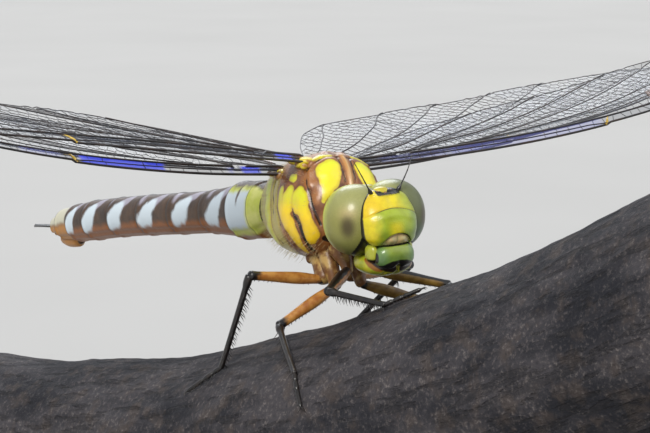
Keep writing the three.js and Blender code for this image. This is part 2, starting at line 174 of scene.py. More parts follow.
def tone(code: str) -> tuple[float, float, float, float]:
    """A colour from six hexadecimal digits, made linear."""
    parts = [int(code[i : i + 2], 16) / 255 for i in (0, 2, 4)]
    return (*[p / 12.92 if p <= 0.04045 else ((p + 0.055) / 1.055) ** 2.4 for p in parts], 1.0)


def operation(name: str, words: str) -> Callable[..., "Ink"]:
    """Makes a method that adds one Math node.

    Args:
        name: the node's operation.
        words: the method's docstring.

    Returns:
        The method.
    """

    def apply(self: "Ink", *others: Any) -> "Ink":
        return self.kit.maths(name, self, *others)

    apply.__doc__ = words
    return apply


class Ink:
    """One output of a shader node, with arithmetic that adds the Math nodes."""

    def __init__(self, kit: "Kit", socket: NodeSocket) -> None:
        """Wraps a socket of a material's node tree."""
        self.kit = kit
        self.socket = socket

    __add__ = operation("ADD", "Sum.")
    __sub__ = operation("SUBTRACT", "Difference.")
    __mul__ = operation("MULTIPLY", "Product.")
    __truediv__ = operation("DIVIDE", "Quotient.")
    __abs__ = operation("ABSOLUTE", "Size without sign.")
    high = operation("MAXIMUM", "The larger of two values.")
    low = operation("MINIMUM", "The smaller of two values.")
    sine = operation("SINE", "Sine.")

    def step(self, low: float, high: float) -> "Ink":
        """A soft step between two values.

        Args:
            low: where the step gives 0.
            high: where it gives 1, which may be the lower number.

        Returns:
            The height of the step, from 0 to 1.
        """
        flip = low > high
        inputs = {"Value": self, "From Min": min(low, high), "From Max": max(low, high)}
        inputs |= {"To Min": float(flip), "To Max": float(not flip)}
        return self.kit.out("ShaderNodeMapRange", {"interpolation_type": "SMOOTHSTEP"}, inputs)

    def parts(self) -> tuple["Ink", "Ink", "Ink"]:
        """The three numbers of a vector."""
        node = self.kit.node("ShaderNodeSeparateXYZ", {}, {0: self})
        return tuple(Ink(self.kit, socket) for socket in node.outputs)


class Kit:
    """Makes the nodes of one material, and keeps the colour laid so far.

    A colour is given as six hexadecimal digits. Patterns lie on the object unless told otherwise.
    """

    def __init__(self, name: str) -> None:
        """Starts an empty material."""
        self.material = bpy.data.materials.new(name)
        self.material.use_nodes = True
        self.tree = self.material.node_tree
        self.tree.nodes.clear()
        self.colour: Ink | str = ""

    def node(self, kind: str, settings: dict[str, Any], inputs: dict[Any, Any]) -> Node:
        """Adds a node.

        Args:
            kind: the node's type.
            settings: its properties, which are set first.
            inputs: values, colours or links for its sockets, by name or number.

        Returns:
            The new node.
        """
        node = self.tree.nodes.new(kind)
        for key, value in settings.items():
            setattr(node, key, value)
        for key, value in inputs.items():
            if isinstance(value, Ink):
                self.tree.links.new(value.socket, node.inputs[key])
            else:
                node.inputs[key].default_value = tone(value) if isinstance(value, str) else value
        return node

    def out(self, kind: str, settings: dict[str, Any], inputs: dict[Any, Any], name: Any = 0) -> Ink:
        """Adds a node and gives one of its outputs."""
        return Ink(self, self.node(kind, settings, inputs).outputs[name])

    def maths(self, operation: str, *values: Any) -> Ink:
        """Adds a Math node."""
        return self.out("ShaderNodeMath", {"operation": operation}, dict(enumerate(values)))

    def vectors(self, operation: str, *values: Any, name: Any = 0) -> Ink:
        """Adds a Vector Math node."""
        return self.out("ShaderNodeVectorMath", {"operation": operation}, dict(enumerate(values)), name)

    def scaled(self, vector: Any, factor: Any) -> Ink:
        """A vector with all its directions scaled by one number."""
        return self.out("ShaderNodeVectorMath", {"operation": "SCALE"}, {0: vector, "Scale": factor})

    def point(self, x: Any, y: Any, z: Any = 0.0) -> Ink:
        """A vector made of three numbers."""
        return self.out("ShaderNodeCombineXYZ", {}, {0: x, 1: y, 2: z})

    def value(self, name: str) -> Ink:
        """A number that the mesh carries at its points."""
        return self.out("ShaderNodeAttribute", {"attribute_name": name}, {}, "Fac")

    def values(self, name: str) -> tuple[Ink, Ink, Ink]:
        """Three numbers that the mesh carries at its points."""
        return self.out("ShaderNodeAttribute", {"attribute_name": name}, {}, "Vector").parts()

    @cached_property
    def place(self) -> Ink:
        """The point on the object, in millimetres."""
        return self.scaled(self.out("ShaderNodeTexCoord", {}, {}, "Object"), 1 / MM)

    def stretch(self, scales: Point, at: Ink | None = None) -> Ink:
        """The place with each direction scaled by its own number."""
        return self.vectors("MULTIPLY", at or self.place, tuple(scales))

    def cloud(self, rate: float, detail: float = 3.0, rough: float = 0.55, at: Ink | None = None) -> Ink:
        """Uneven noise between 0 and 1, with `rate` waves for each millimetre."""
        inputs = {"Vector": at or self.place, "Scale": rate, "Detail": detail, "Roughness": rough}
        return self.out("ShaderNodeTexNoise", {}, inputs, "Fac")

    def cells(self, rate: float, at: Ink | None = None) -> Ink:
        """Distance in a pattern of cells, with `rate` cells for each millimetre."""
        return self.out("ShaderNodeTexVoronoi", {}, {"Vector": at or self.place, "Scale": rate}, "Distance")

    def blend(self, share: Any, under: Any, over: Any, mode: str = "MIX") -> Ink:
        """Lays one colour over another."""
        settings = {"data_type": "RGBA", "blend_type": mode}
        return self.out("ShaderNodeMix", settings, {0: share, 6: under, 7: over}, 2)

    def lay(self, share: Any, over: Any) -> None:
        """Lays a colour over the colour laid so far."""
        self.colour = self.blend(share, self.colour, over)

    def streak(self, spot: Ink, path: Path) -> Ink:
        """How far inside a swelling band a point lies, positive inside.

        Args:
            spot: the point on the surface.
            path: the corners of the band's middle line, each with the band's half width.

        Returns:
            The depth inside the band.
        """
        depths = []
        for (a, wide_a), (b, wide_b) in zip(path, path[1:]):
            run = tuple(q - p for p, q in zip(a, b))
            gone = self.vectors("SUBTRACT", spot, tuple(a))
            share = self.vectors("DOT_PRODUCT", gone, run, name="Value") / sum(v * v for v in run)
            share = share.high(0.0).low(1.0)
            reach = self.vectors("DISTANCE", gone, self.scaled(run, share), name="Value")
            depths.append(share * (wide_b - wide_a) + wide_a - reach)
        return reduce(Ink.high, depths)

    def streaks(self, spot: Ink, paths: Sequence[Path]) -> Ink:
        """How far inside the nearest of several bands a point lies."""
        return reduce(Ink.high, [self.streak(spot, path) for path in paths])

    def bump(self, height: Ink, distance: float, strength: float = 1.0, under: Ink | None = None) -> Ink:
        """Relief that the light sees, over other relief: a height of 1 stands `distance` mm high."""
        inputs = {"Height": height, "Distance": distance * MM, "Strength": strength}
        return self.out("ShaderNodeBump", {}, inputs | ({"Normal": under} if under else {}))

    def surface(
        self,
        roughness: Ink | float,
        relief: Ink | None = None,
        coat: Point = (0.0, 0.03),
        **others: Any,
    ) -> Material:
        """Ends the material in a principled surface of the colour laid so far.

        Args:
            roughness: the roughness of the surface under its coat.
            relief: its bump.
            coat: strength and roughness of its clear coat.
            others: more of the surface's sockets, with _ for each space in their names.

        Returns:
            The material.
        """
        inputs = {"Base Color": self.colour, "Roughness": roughness}
        inputs |= {"Coat Weight": coat[0], "Coat Roughness": coat[1]}
        inputs |= {key.replace("_", " "): value for key, value in others.items()}
        inputs |= {"Normal": relief} if relief else {}
        shader = self.out("ShaderNodeBsdfPrincipled", {}, inputs)
        self.node("ShaderNodeOutputMaterial", {}, {"Surface": shader})
        return self.material


# --- mesh kit


class Form:
    """A mesh being shaped: its points in millimetres and the values that they carry."""

    def __init__(self, work: bmesh.types.BMesh) -> None:
        """Takes over a finished bmesh."""
        self.mesh = bpy.data.meshes.new("form")
        work.to_mesh(self.mesh)
        work.free()
        self.values: dict[str, np.ndarray] = {}
        self.points = self.read("co")

    def read(self, key: str) -> np.ndarray:
        """The points ("co") or the normals ("normal") of the mesh, as rows."""
        flat = np.empty(len(self.mesh.vertices) * 3)
        self.mesh.vertices.foreach_get(key, flat)
        return flat.reshape(-1, 3)

    @classmethod
    def ball(cls, detail: int) -> "Form":
        """An even round ball of radius 1."""
        work = bmesh.new()
        bmesh.ops.create_icosphere(work, subdivisions=detail, radius=1.0)
        return cls(work)

    @classmethod
    def sheet(cls, columns: int, rows: int) -> tuple["Form", np.ndarray, np.ndarray]:
        """A flat sheet of cells.

        Args:
            columns: cells along its first direction.
            rows: cells along its second direction.

        Returns:
            The form, and each point's shares of the two directions.
        """
        work = bmesh.new()
        bmesh.ops.create_grid(work, x_segments=columns, y_segments=rows, size=0.5)
        form = cls(work)
        return form, form.points[:, 0] + 0.5, form.points[:, 1] + 0.5

    def write(self) -> None:
        """Puts the array of points back in the mesh."""
        self.mesh.vertices.foreach_set("co", self.points.ravel())
        self.mesh.update()

    def face_out(self) -> "Form":
        """Turns the faces of a closed form outwards, and gives the form back."""
        self.write()
        work = bmesh.new()
        work.from_mesh(self.mesh)
        bmesh.ops.recalc_face_normals(work, faces=work.faces)
        work.to_mesh(self.mesh)
        work.free()
        return self

    def push(self, amount: np.ndarray) -> "Form":
        """Moves each point outwards by its own amount, and gives the form back."""
        self.write()
        self.points = self.points + self.read("normal") * amount[:, None]
        return self

    def carry(self, **values: np.ndarray) -> "Form":
        """Stores values at the points for the materials to read, and gives the form back."""
        self.values.update(values)
        return self

    def place(self, name: str, material: Material, offset: np.ndarray = THORAX_CENTRE) -> Object:
        """Turns the form into an object over the stand.

        Args:
            name: the object's name.
            material: its finish.
            offset: where the form's zero point lies over the stand's underside.

        Returns:
            The new object.
        """
        self.points = (self.points + offset) * MM
        self.write()
        for key, array in self.values.items():
            kind, slot = ("FLOAT", "value") if array.ndim == 1 else ("FLOAT_VECTOR", "vector")
            layer = self.mesh.attributes.new(key, kind, "POINT")
            layer.data.foreach_set(slot, np.ascontiguousarray(array, dtype=np.float32).ravel())
        return show(name, self.mesh, material)


class Tube(Form):
    """A closed round tube that is then laid along a line.

    Each point has its share of the way `along`, its share of the radius (`size`, less than
    1 in the rounded ends), how far it bulges past the end in radii (`bulge`), its `angle`
    from the top and that angle's sine (`across`) and cosine (`upward`).
    """

    def __init__(self, sides: int, rings: int, cap: float) -> None:
        """Makes the tube.

        Args:
            sides: points round the tube.
            rings: rings from pole to pole.
            cap: share of the rings that goes to each rounded end.
        """
        work = bmesh.new()
        bmesh.ops.create_uvsphere(work, u_segments=sides, v_segments=rings, radius=1.0)
        super().__init__(work)
        x, y, z = self.points.T
        rank = np.arccos(np.clip(-z, -1, 1)) / math.pi
        turn = np.clip(np.minimum(rank, 1 - rank) / cap, 0, 1) * math.pi / 2
        self.size = np.sin(turn)
        self.bulge = np.cos(turn) * np.sign(rank - 0.5)
        self.along = np.clip((rank - cap) / (1 - 2 * cap), 0, 1)
        self.angle = np.arctan2(x, y)
        self.across, self.upward = np.sin(self.angle), np.cos(self.angle)

    def lay(self, centre: np.ndarray, *moves: tuple[np.ndarray, np.ndarray]) -> "Tube":
        """Puts each point at its centre and moves it from there.

        Args:
            centre: the middle of the tube at each point, or one place for all.
            moves: directions, each with how far every point goes that way.

        Returns:
            The tube, facing outwards.
        """
        self.points = centre + np.zeros_like(self.points)
        for direction, lengths in moves:
            self.points = self.points + direction * lengths[:, None]
        return self.face_out()


@dataclass(frozen=True)
class Trunk:
    """A rounded body along Y: its ends, and heights of back and belly and half widths along it."""

    ends: Point
    back: Stops
    belly: Stops
    width: Stops
    power: float

    def section(self, y: Any) -> tuple[Any, Any, Any]:
        """Half width, middle height and half height at places along the body."""
        top, bottom, half = (profile(stops)(y) for stops in (self.back, self.belly, self.width))
        return half, (top + bottom) / 2, (top - bottom) / 2

    def loft(self, sides: int, rings: int) -> Tube:
        """The body's closed form, finer towards its ends.

        Args:
            sides: points round the section.
            rings: rings from end to end.

        Returns:
            The form, facing outwards.
        """
        tube = Tube(sides, rings, 0.1)
        y = self.ends[0] + (1 - np.cos(tube.along * math.pi)) / 2 * (self.ends[1] - self.ends[0])
        half, middle, rise = self.section(y)
        reach = squared_ring(tube.across, tube.upward, self.power) * tube.size
        centre = np.column_stack([np.zeros_like(y), y + tube.bulge * 0.25, middle])
        return tube.lay(centre, (X_AXIS, half * tube.across * reach), (Z_AXIS, rise * tube.upward * reach))


def show(name: str, mesh: Mesh, material: Material) -> Object:
    """Makes an object of a mesh.

    Args:
        name: the name of both.
        mesh: the mesh.
        material: its finish.

    Returns:
        The new object.
    """
    mesh.name = name
    mesh.shade_smooth()
    mesh.materials.clear()
    mesh.materials.append(material)
    piece = bpy.data.objects.new(name, mesh)
    bpy.context.collection.objects.link(piece)
    return piece


def together(name: str, pieces: Sequence[Object]) -> Object:
    """Joins objects into the first of them.

    Args:
        name: the joined object's name.
        pieces: the objects.

    Returns:
        The joined object.
    """
    first = pieces[0]
    if len(pieces) > 1:
        with bpy.context.temp_override(active_object=first, selected_editable_objects=list(pieces)):
            bpy.ops.object.join()
    first.name = name
    return first


def strands(name: str, lines: Sequence[Line], material: Material, sides: int = 4) -> Object:
    """Thin round strands along lines, as one mesh.

    Args:
        name: the object's name.
        lines: for each strand, its points in millimetres and its radius or radii.
        material: the finish.
        sides: sides of each strand, an even number.

    Returns:
        The new object.
    """
    curve = bpy.data.curves.new(name, "CURVE")
    curve.dimensions = "3D"
    curve.bevel_depth = 1.0
    curve.bevel_resolution = (sides - 4) // 2
    curve.use_fill_caps = True
    for points, radii in lines:
        spline = curve.splines.new("POLY")
        spline.points.add(len(points) - 1)
        placed = (np.asarray(points) + THORAX_CENTRE) * MM
        spline.points.foreach_set("co", np.hstack([placed, np.ones((len(points), 1))]).ravel())
        spline.points.foreach_set("radius", np.broadcast_to(np.asarray(radii) * MM, len(points)))
    drawn = bpy.data.objects.new(name, curve)
    bpy.context.collection.objects.link(drawn)
    mesh = bpy.data.meshes.new_from_object(drawn.evaluated_get(bpy.context.evaluated_depsgraph_get()))
    bpy.data.objects.remove(drawn)
    bpy.data.curves.remove(curve)
    return show(name, mesh, material)


def hand_over(piece: Object, slot: str, *nodes: str) -> None:
    """Tells the frame what a finished piece stands for, and reports it.

    Args:
        piece: the finished piece.
        slot: the material slot that it fills.
        nodes: the nodes that it replaces.
    """
    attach(piece, "root")
    if nodes:
        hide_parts(*nodes)
    count = sum(len(p.vertices) - 2 for p in piece.data.polygons)
    log.info("%s: %d triangles", piece.name, count)


# --- finishes


@dataclass(frozen=True)
class FaceFinish:
    """Smooth satin shell of the face, yellow to lime green, with black seams."""

    yellow: str = "dac81c"
    amber: str = "dca812"
    lime: str = "9aab25"
    olive: str = "788d24"
    pearl: str = "a89f6c"
    black: str = "0c0907"

    def shell(self, kit: Kit, roughness: float, coat: Point) -> Material:
        """Ends a material in the finely pitted surface of the face."""
        relief = kit.bump(kit.cells(9.0), 0.02, 0.35, kit.bump(kit.cloud(1.6), 0.05, 0.4))
        return kit.surface(roughness, relief, coat)

    def mottle(self, kit: Kit) -> None:
        """Makes the colour slightly uneven."""
        shade = kit.cloud(1.4, 4.0).step(0.3, 0.75)
        kit.lay(shade * 0.4, kit.blend(1.0, kit.colour, "c4b48a", "MULTIPLY"))

    def outline(self, kit: Kit, x: Ink, marks: Ink) -> None:
        """Adds the brown seam between brow and nose, a plate's black marks and its black edge."""
        kit.lay(kit.value("seam").step(0.05, 0.02) * x.step(-2.2, -1.3) * 0.85, "4a3a10")
        kit.lay(marks.high(kit.value("flank").step(0.972, 0.99)), self.black)

    def frons(self) -> Material:
        """The brow: yellow, amber on one flank and lime on the other, with the black bar on its top.

        Returns:
            The material.
        """
        kit = Kit("face_brow")
        x, _, z = kit.values("head")
        blotch = kit.cloud(0.9, 3.0)
        kit.colour = kit.blend((x + blotch * 1.4).step(0.4, -1.4) * 0.4, self.yellow, self.amber)
        kit.lay((x + blotch * 0.8).step(0.2, 1.9) * 0.85, self.lime)
        bar = x.step(-1.08, -0.96) * x.step(1.34, 1.24) * z.step(2.4, 2.46)
        self.mottle(kit)
        self.outline(kit, x, bar)
        return self.shell(kit, 0.36, (0.25, 0.2))

    def clypeus(self) -> Material:
        """The nose plate: lime green, yellow on its flank and middle, with a beige plate in its lower edge.

        Returns:
            The material.
        """
        kit = Kit("face_nose")
        x, _, z = kit.values("head")
        blotch = kit.cloud(1.1, 3.0)
        middle = abs(x + 0.25).step(1.0, 0.1) * abs(z + 0.35).step(0.95, 0.2) * 0.75
        flank = (x + blotch * 0.7).step(-1.05, -2.0)
        kit.colour = kit.blend((z + blotch * 0.5).step(0.3, -0.7), self.lime, self.olive)
        kit.lay(middle.high(flank), self.yellow)
        # Painted sheen: a greyish green on the left flank.
        kit.lay((x + blotch * 0.5).step(1.2, 2.0) * 0.6, "7c9a4c")
        self.mottle(kit)
        arch = kit.value("arch")
        pearl = kit.blend(kit.cloud(2.2, 4.0).step(0.35, 0.7), self.pearl, "c29f70")
        pearl = kit.blend(abs(x + 0.14).step(0.7, 1.25) * 0.5, pearl, self.olive)
        kit.lay(arch.step(0.0, 0.03), pearl)
        line = abs(arch - 0.01).step(0.07, 0.035) * (x.step(-0.2, 0.6) * 0.6 + 0.4)
        line = line.high(abs(x + 0.14).step(0.07, 0.0) * arch.step(0.1, 0.3) * 0.5)
        self.outline(kit, x, line.high(z.step(-1.72, -1.8)))
        return self.shell(kit, 0.32, (0.35, 0.16))

    def labrum(self) -> Material:
        """The upper lip: green, black along its lower edge and its base.

        Returns:
            The material.
        """
        kit = Kit("face_lip")
        x, _, z = kit.values("head")
        side = abs(x + 0.08)
        # Painted highlight: lighter green at the top of the lip, darker below.
        kit.colour = kit.blend(z.step(-2.1, -2.9), "86993a", "637d34")
        kit.lay(side.step(0.7, 1.5) * 0.7, "577c4e")
        self.mottle(kit)
        bay = kit.cloud(1.5) * 0.2 - side * side * 0.17 - 3.16
        black = (z - bay).step(0.1, 0.0).high(z.step(-1.86, -1.8)).high(side.step(1.72, 1.77))
        kit.lay(black, self.black)
        return self.shell(kit, 0.28, (0.5, 0.12))

    def labium(self) -> Material:
        """The lower lip: yellow-green, brown along its seams.

        Returns:
            The material.
        """
        kit = Kit("face_jaw")
        x, y, z = kit.values("head")
        kit.colour = kit.blend(kit.cloud(1.2).step(0.35, 0.7), "90991c", "b5ae28")
        drift = kit.cloud(1.6) * 0.2 - 0.1
        spot = kit.point(abs(x), y, z)
        rust = (((2.2, -1.5, -2.7), 0.2), ((1.95, -2.6, -3.35), 0.4), ((1.5, -3.6, -4.05), 0.3))
        gap = (((1.9, -2.5, -2.9), 0.3), ((1.4, -3.4, -3.5), 0.4), ((0.5, -3.7, -3.85), 0.4))
        kit.lay((kit.streak(spot, rust) + drift).step(-0.06, 0.08) * 0.9, "844a1e")
        kit.lay((kit.streak(spot, gap) + drift).step(-0.06, 0.08), "1a0c06")
        kit.lay(abs(x).step(0.08, 0.03), self.black)
        return self.shell(kit, 0.34, (0.3, 0.2))

    def mandible(self) -> Material:
        """A jaw: yellow outside, brown inside and black below.

        Returns:
            The material.
        """
        kit = Kit("face_mandible")
        x, _, z = kit.values("head")
        kit.colour = "a9ae34"
        self.mottle(kit)
        kit.lay(abs(x).step(1.78, 1.62), "3c2412")
        kit.lay(z.step(-2.8, -3.0), "1a0d07")
        return self.shell(kit, 0.32, (0.3, 0.2))

    def vertex(self) -> Material:
        """The bump between the eyes: yellow on black.

        Returns:
            The material.
        """
        kit = Kit("face_vertex")
        _, _, z = kit.values("head")
        kit.colour = kit.blend(z.step(2.24, 2.36), self.black, "c2b42a")
        self.mottle(kit)
        return self.shell(kit, 0.35, (0.3, 0.03))

    def bead(self) -> Material:
        """The simple eyes: clear amber beads."""
        kit = Kit("simple_eye")
        kit.colour = "7a4c1c"
        return kit.surface(0.08, coat=(1.0, 0.04))

    def skull(self) -> Material:
        """The back of the head: black, with a yellow triangle between the eyes.

        Returns:
            The material.
        """
        kit = Kit("head_back")
        x, y, z = kit.values("head")
        side = abs(x)
        patch = (z - side * 1.6).step(1.75, 1.95)
        rim = side.step(2.7, 3.1) * y.step(1.9, 1.2)
        kit.colour = kit.blend(patch.high(rim), "15100b", "a9a331")
        self.mottle(kit)
        return self.shell(kit, 0.42, (0.2, 0.03))


@dataclass(frozen=True)
class EyeFinish:
    """Glossy compound eye: olive grey above, darker green below, with a pale rear rim."""

    crown: str = "98985c"
    olive: str = "8c8a46"
    under: str = "6a6c38"
    rim: str = "c2cc3c"
    smudge: str = "42341a"

    def make(self) -> Material:
        """Builds the material.

        Returns:
            The material.
        """
        kit = Kit("eye_shell")
        x, y, z = kit.values("head")
        drift = kit.cloud(0.5, 2.0) * 0.8 - 0.4
        kit.colour = kit.blend((z + drift).step(2.3, 0.2), self.crown, self.olive)
        kit.lay((z + drift).step(-0.4, -2.8), self.under)
        kit.lay((y + drift * 0.4).step(-0.3, 1.1) * 0.9, self.rim)
        # Painted shade: the left eye is darker, and low on it a teal tint paints the sky's reflection.
        kit.lay(x.step(0.6, 2.4) * 0.8, "434e2a")
        kit.lay(x.step(1.5, 3.5) * (z + drift).step(0.5, -2.0) * 0.7, "2f5f49")
        # Painted highlight: a soft tan patch where the light glints on the eye.
        kit.lay(kit.value("glow") * 0.6, "c4ae78")
        kit.lay(kit.value("smudge").step(0.1, 1.0) * 0.9, self.smudge)
        facets = kit.cells(11.0)
        kit.lay(facets.step(0.25, 0.6) * 0.15, "2a2a18")
        kit.lay(y.step(1.75, 1.95).high(kit.value("brink").step(0.02, 0.1)), "15120a")
        relief = kit.bump(facets, 0.012, 0.3)
        return kit.surface(0.42, relief, coat=(0.4, 0.2), Specular_IOR_Level=0.35)


@dataclass(frozen=True)
class ThoraxFinish:
    """Glossy red-brown shell with yellow stripes and dark seams."""

    ground: str = "96602f"
    deep: str = "643416"
    ridge: str = "b98548"
    yellow: str = "e8d81c"
    lime: str = "b6c332"
    black: str = "1a0e07"

    def make(self, stripes: Sequence[Path], seams: Sequence[Path]) -> Material:
        """Builds the shell's material.

        Args:
            stripes: the middle lines of the yellow stripes, with their half widths.
            seams: those of the dark seams.

        Returns:
            The material.
        """
        kit = Kit("thorax_shell")
        x, y, z = kit.values("body")
        side = abs(x)
        spot = kit.point(side, y, z)
        edge = kit.cloud(1.8, 3.0) * 0.24 - 0.12
        kit.colour = kit.blend(kit.cloud(0.7, 3.0).step(0.35, 0.7), self.ground, self.deep)
        kit.lay(side.step(0.42, 0.12) * y.step(-2.4, -3.4), self.ridge)
        kit.lay(z.step(-0.5, -3.0) * y.step(-1.0, 2.0) * 0.6, "8b7a45")
        kit.lay((y - z * 0.35).step(0.0, 0.9) * z.step(2.9, 1.6) * 0.8, "b4aa56")
        bands = kit.streaks(spot, stripes) + edge
        warm = kit.blend((z + edge * 4.0).step(-1.6, 1.2), "ecc714", "d3d81f")
        warm = kit.blend(y.step(-4.0, -4.6) * z.step(0.0, 1.5), warm, self.yellow)
        warm = kit.blend(y.step(-0.9, 0.5) * 0.8, warm, self.lime)
        warm = kit.blend(bands.step(0.4, 0.05) * 0.45, warm, "b98f1c")
        kit.lay(bands.step(-0.25, -0.04) * 0.5, self.deep)
        kit.lay(bands.step(-0.05, 0.1), warm)
        kit.lay((kit.streaks(spot, seams) + edge * 0.4).step(-0.06, 0.05), self.black)
        # Painted highlight: a pale streak down the front ridge.
        carina_painted_highlight = side.step(0.12, 0.05) * y.step(-2.6, -3.2)
        kit.lay(carina_painted_highlight * 0.5, "c2a878")
        relief = kit.bump(kit.cells(7.0), 0.02, 0.3, kit.bump(kit.cloud(1.1, 4.0), 0.12, 0.5))
        return kit.surface(kit.cloud(1.5) * 0.2 + 0.28, relief, coat=(0.4, 0.24))

    def root(self) -> Material:
        """The small plates at the roots of the wings: amber, brown and yellow.

        Returns:
            The material.
        """
        kit = Kit("wing_root_shell")
        kit.colour = kit.blend(kit.cloud(0.9, 3.0).step(0.35, 0.6), "4a2a12", "9a6a2a")
        kit.lay(kit.cloud(0.6, 2.0).step(0.52, 0.58), "cdb82a")
        return kit.surface(0.4, kit.bump(kit.cloud(2.2, 4.0), 0.08, 0.6), coat=(0.25, 0.25))

    def coxa(self) -> Material:
        """The hips: brown with a pearly bloom.

        Returns:
            The material.
        """
        kit = Kit("coxa_shell")
        kit.colour = kit.blend(kit.cloud(0.9, 3.0).step(0.45, 0.65) * 0.8, "6a4420", "b8995a")
        relief = kit.bump(kit.cloud(2.5, 4.0), 0.05, 0.5)
        return kit.surface(0.45, relief, coat=(0.15, 0.2), Specular_IOR_Level=0.35)

    def hair(self) -> Material:
        """The down: pale straw."""
        kit = Kit("trunk_hair")
        kit.colour = kit.blend(kit.cloud(0.8), "8f7a4a", "d8cba0")
        return kit.surface(0.5)


class Band(Enum):
    """The three ways in which the rings of the abdomen are marked."""

    WAIST = "waist"
    MIDDLE = "middle"
    TAIL = "tail"


@dataclass(frozen=True)
class AbdomenFinish:
    """Semi-gloss brown shell with paired pale spots, green at the waist."""

    ground: str = "4e3826"
    belly: str = "96571c"
    pale: str = "c8d4dc"
    green: str = "bcc455"
    black: str = "17120f"

    def waist(self, kit: Kit, ring: Ink, patch: Ink, u: Ink, v: Ink) -> None:
        """Green rings, the second one pale blue on its flanks.

        Args:
            kit: the material's nodes.
            ring: the ring's number.
            patch: soft blotches.
            u: uneven share of the way along the ring.
            v: uneven angle from the top.
        """
        kit.lay(v.step(0.45, 0.75) * v.step(2.75, 2.4), kit.blend(patch, self.green, "d4d480"))
        second = ring.step(1.4, 1.6)
        flank = second * v.step(0.7, 0.95) * v.step(2.35, 2.05) * (u - v * 0.05).step(-0.1, 0.06)
        kit.lay(flank, self.pale)
        line = u.step(0.42, 0.46) * u.step(0.54, 0.5) * second
        kit.lay(line * v.step(1.5, 1.0) * 0.9, self.ground)

    def middle(self, kit: Kit, ring: Ink, u: Ink, v: Ink) -> None:
        """Rings with a pair of pale blue flank spots and lilac spots above them.

        Args:
            kit: the material's nodes.
            ring: the ring's number.
            u: uneven share of the way along the ring.
            v: uneven angle from the top.
        """
        shift = (ring - 3.0).low(3.0) * 0.09 + 0.02
        spot = kit.point((u - shift) * 6.8, v * 2.05)
        flank = kit.streak(spot, (((4.3, 3.7, 0), 0.8), ((3.0, 3.05, 0), 1.3), ((2.1, 2.2, 0), 0.9)))
        upper = kit.streak(spot, (((2.0, 2.0, 0), 0.6), ((1.0, 1.1, 0), 0.8)))
        rear = kit.streak(spot, (((5.2, 0.85, 0), 0.42), ((4.9, 1.5, 0), 0.4)))
        kit.lay(upper.high(rear * 0.8).step(-0.25, 0.25) * 0.85, "a19cab")
        kit.lay(flank.step(-0.25, 0.35), self.pale)

    def make(self, band: Band) -> Material:
        """Builds the material for one kind of ring.

        Args:
            band: how the ring is marked.

        Returns:
            The material.
        """
        kit = Kit(f"abdomen_{band.value}")
        along, turn, ring = kit.values("ring")
        u = along + kit.cloud(0.9, 3.0) * 0.14 - 0.07
        v = turn + kit.cloud(0.8, 3.0) * 0.4 - 0.2
        patch = kit.cloud(0.8, 4.0).step(0.3, 0.75)
        kit.colour = kit.blend(patch, self.ground, "33261d")
        kit.lay(v.step(1.7, 2.1) * 0.9, self.belly)
        kit.lay(v.step(0.3, 0.12) * 0.7, self.black)
        if band is Band.WAIST:
            self.waist(kit, ring, patch, u, v)
        elif band is Band.MIDDLE:
            self.middle(kit, ring, u, v)
        else:
            kit.lay(u.step(0.05, 0.2) * v.step(1.7, 1.3), "c0bda8")
            kit.lay(v.step(1.35, 1.8) * 0.95, "b27a34")
        edges = along.step(0.04, 0.02).high(along.step(0.955, 0.985))
        kit.lay(edges * v.step(2.9, 2.5) * 0.85, self.black)
        relief = kit.bump(kit.cells(8.0), 0.02, 0.3, kit.bump(kit.cloud(1.5, 4.0), 0.08, 0.4))
        rough = kit.cloud(1.3) * 0.2 + 0.38
        return kit.surface(rough, relief, coat=(0.12, 0.25), Specular_IOR_Level=0.35)


@dataclass(frozen=True)
class LegFinish:
    """Polished leg shell: rust orange to black."""

    rust: tuple[str, str] = ("b98440", "945820")
    # The olive pair is painted shade: a darker copy of the rust for the far legs.
    olive: tuple[str, str] = ("8f7030", "6b4e1e")
    black: str = "0d0a09"
    dark_from: float = 0.86

    def femur(self, dark_top: bool, olive: bool) -> Material:
        """The thigh: rust or olive, black at its ends.

        Args:
            dark_top: whether its top is black too.
            olive: whether it is olive.

        Returns:
            The material.
        """
        kit = Kit("femur_shell" + "_olive" * olive + "_dark" * dark_top)
        along, turn, _ = kit.values("limb")
        drift = kit.cloud(1.5) * 0.16 - 0.08
        kit.colour = kit.blend(kit.cloud(1.3, 4.0).step(0.3, 0.7), *(self.olive if olive else self.rust))
        share = along + drift
        black = share.step(self.dark_from, self.dark_from + 0.08).high(share.step(0.1, 0.04))
        if dark_top:
            black = black.high((turn + drift * 3).step(1.15, 0.9))
        kit.lay(black, self.black)
        return self.shell(kit)

    def dark(self) -> Material:
        """Shin, foot and feeler: black.

        Returns:
            The material.
        """
        kit = Kit("leg_dark")
        kit.colour = kit.blend(kit.cloud(1.6, 4.0).step(0.4, 0.75) * 0.6, self.black, "2c2019")
        return self.shell(kit)

    def shell(self, kit: Kit) -> Material:
        """Ends a material in the glossy, finely grained surface of a leg."""
        relief = kit.bump(kit.cloud(6.0, 4.0), 0.04, 0.5)
        return kit.surface(kit.cloud(2.5) * 0.2 + 0.25, relief, coat=(0.3, 0.2))


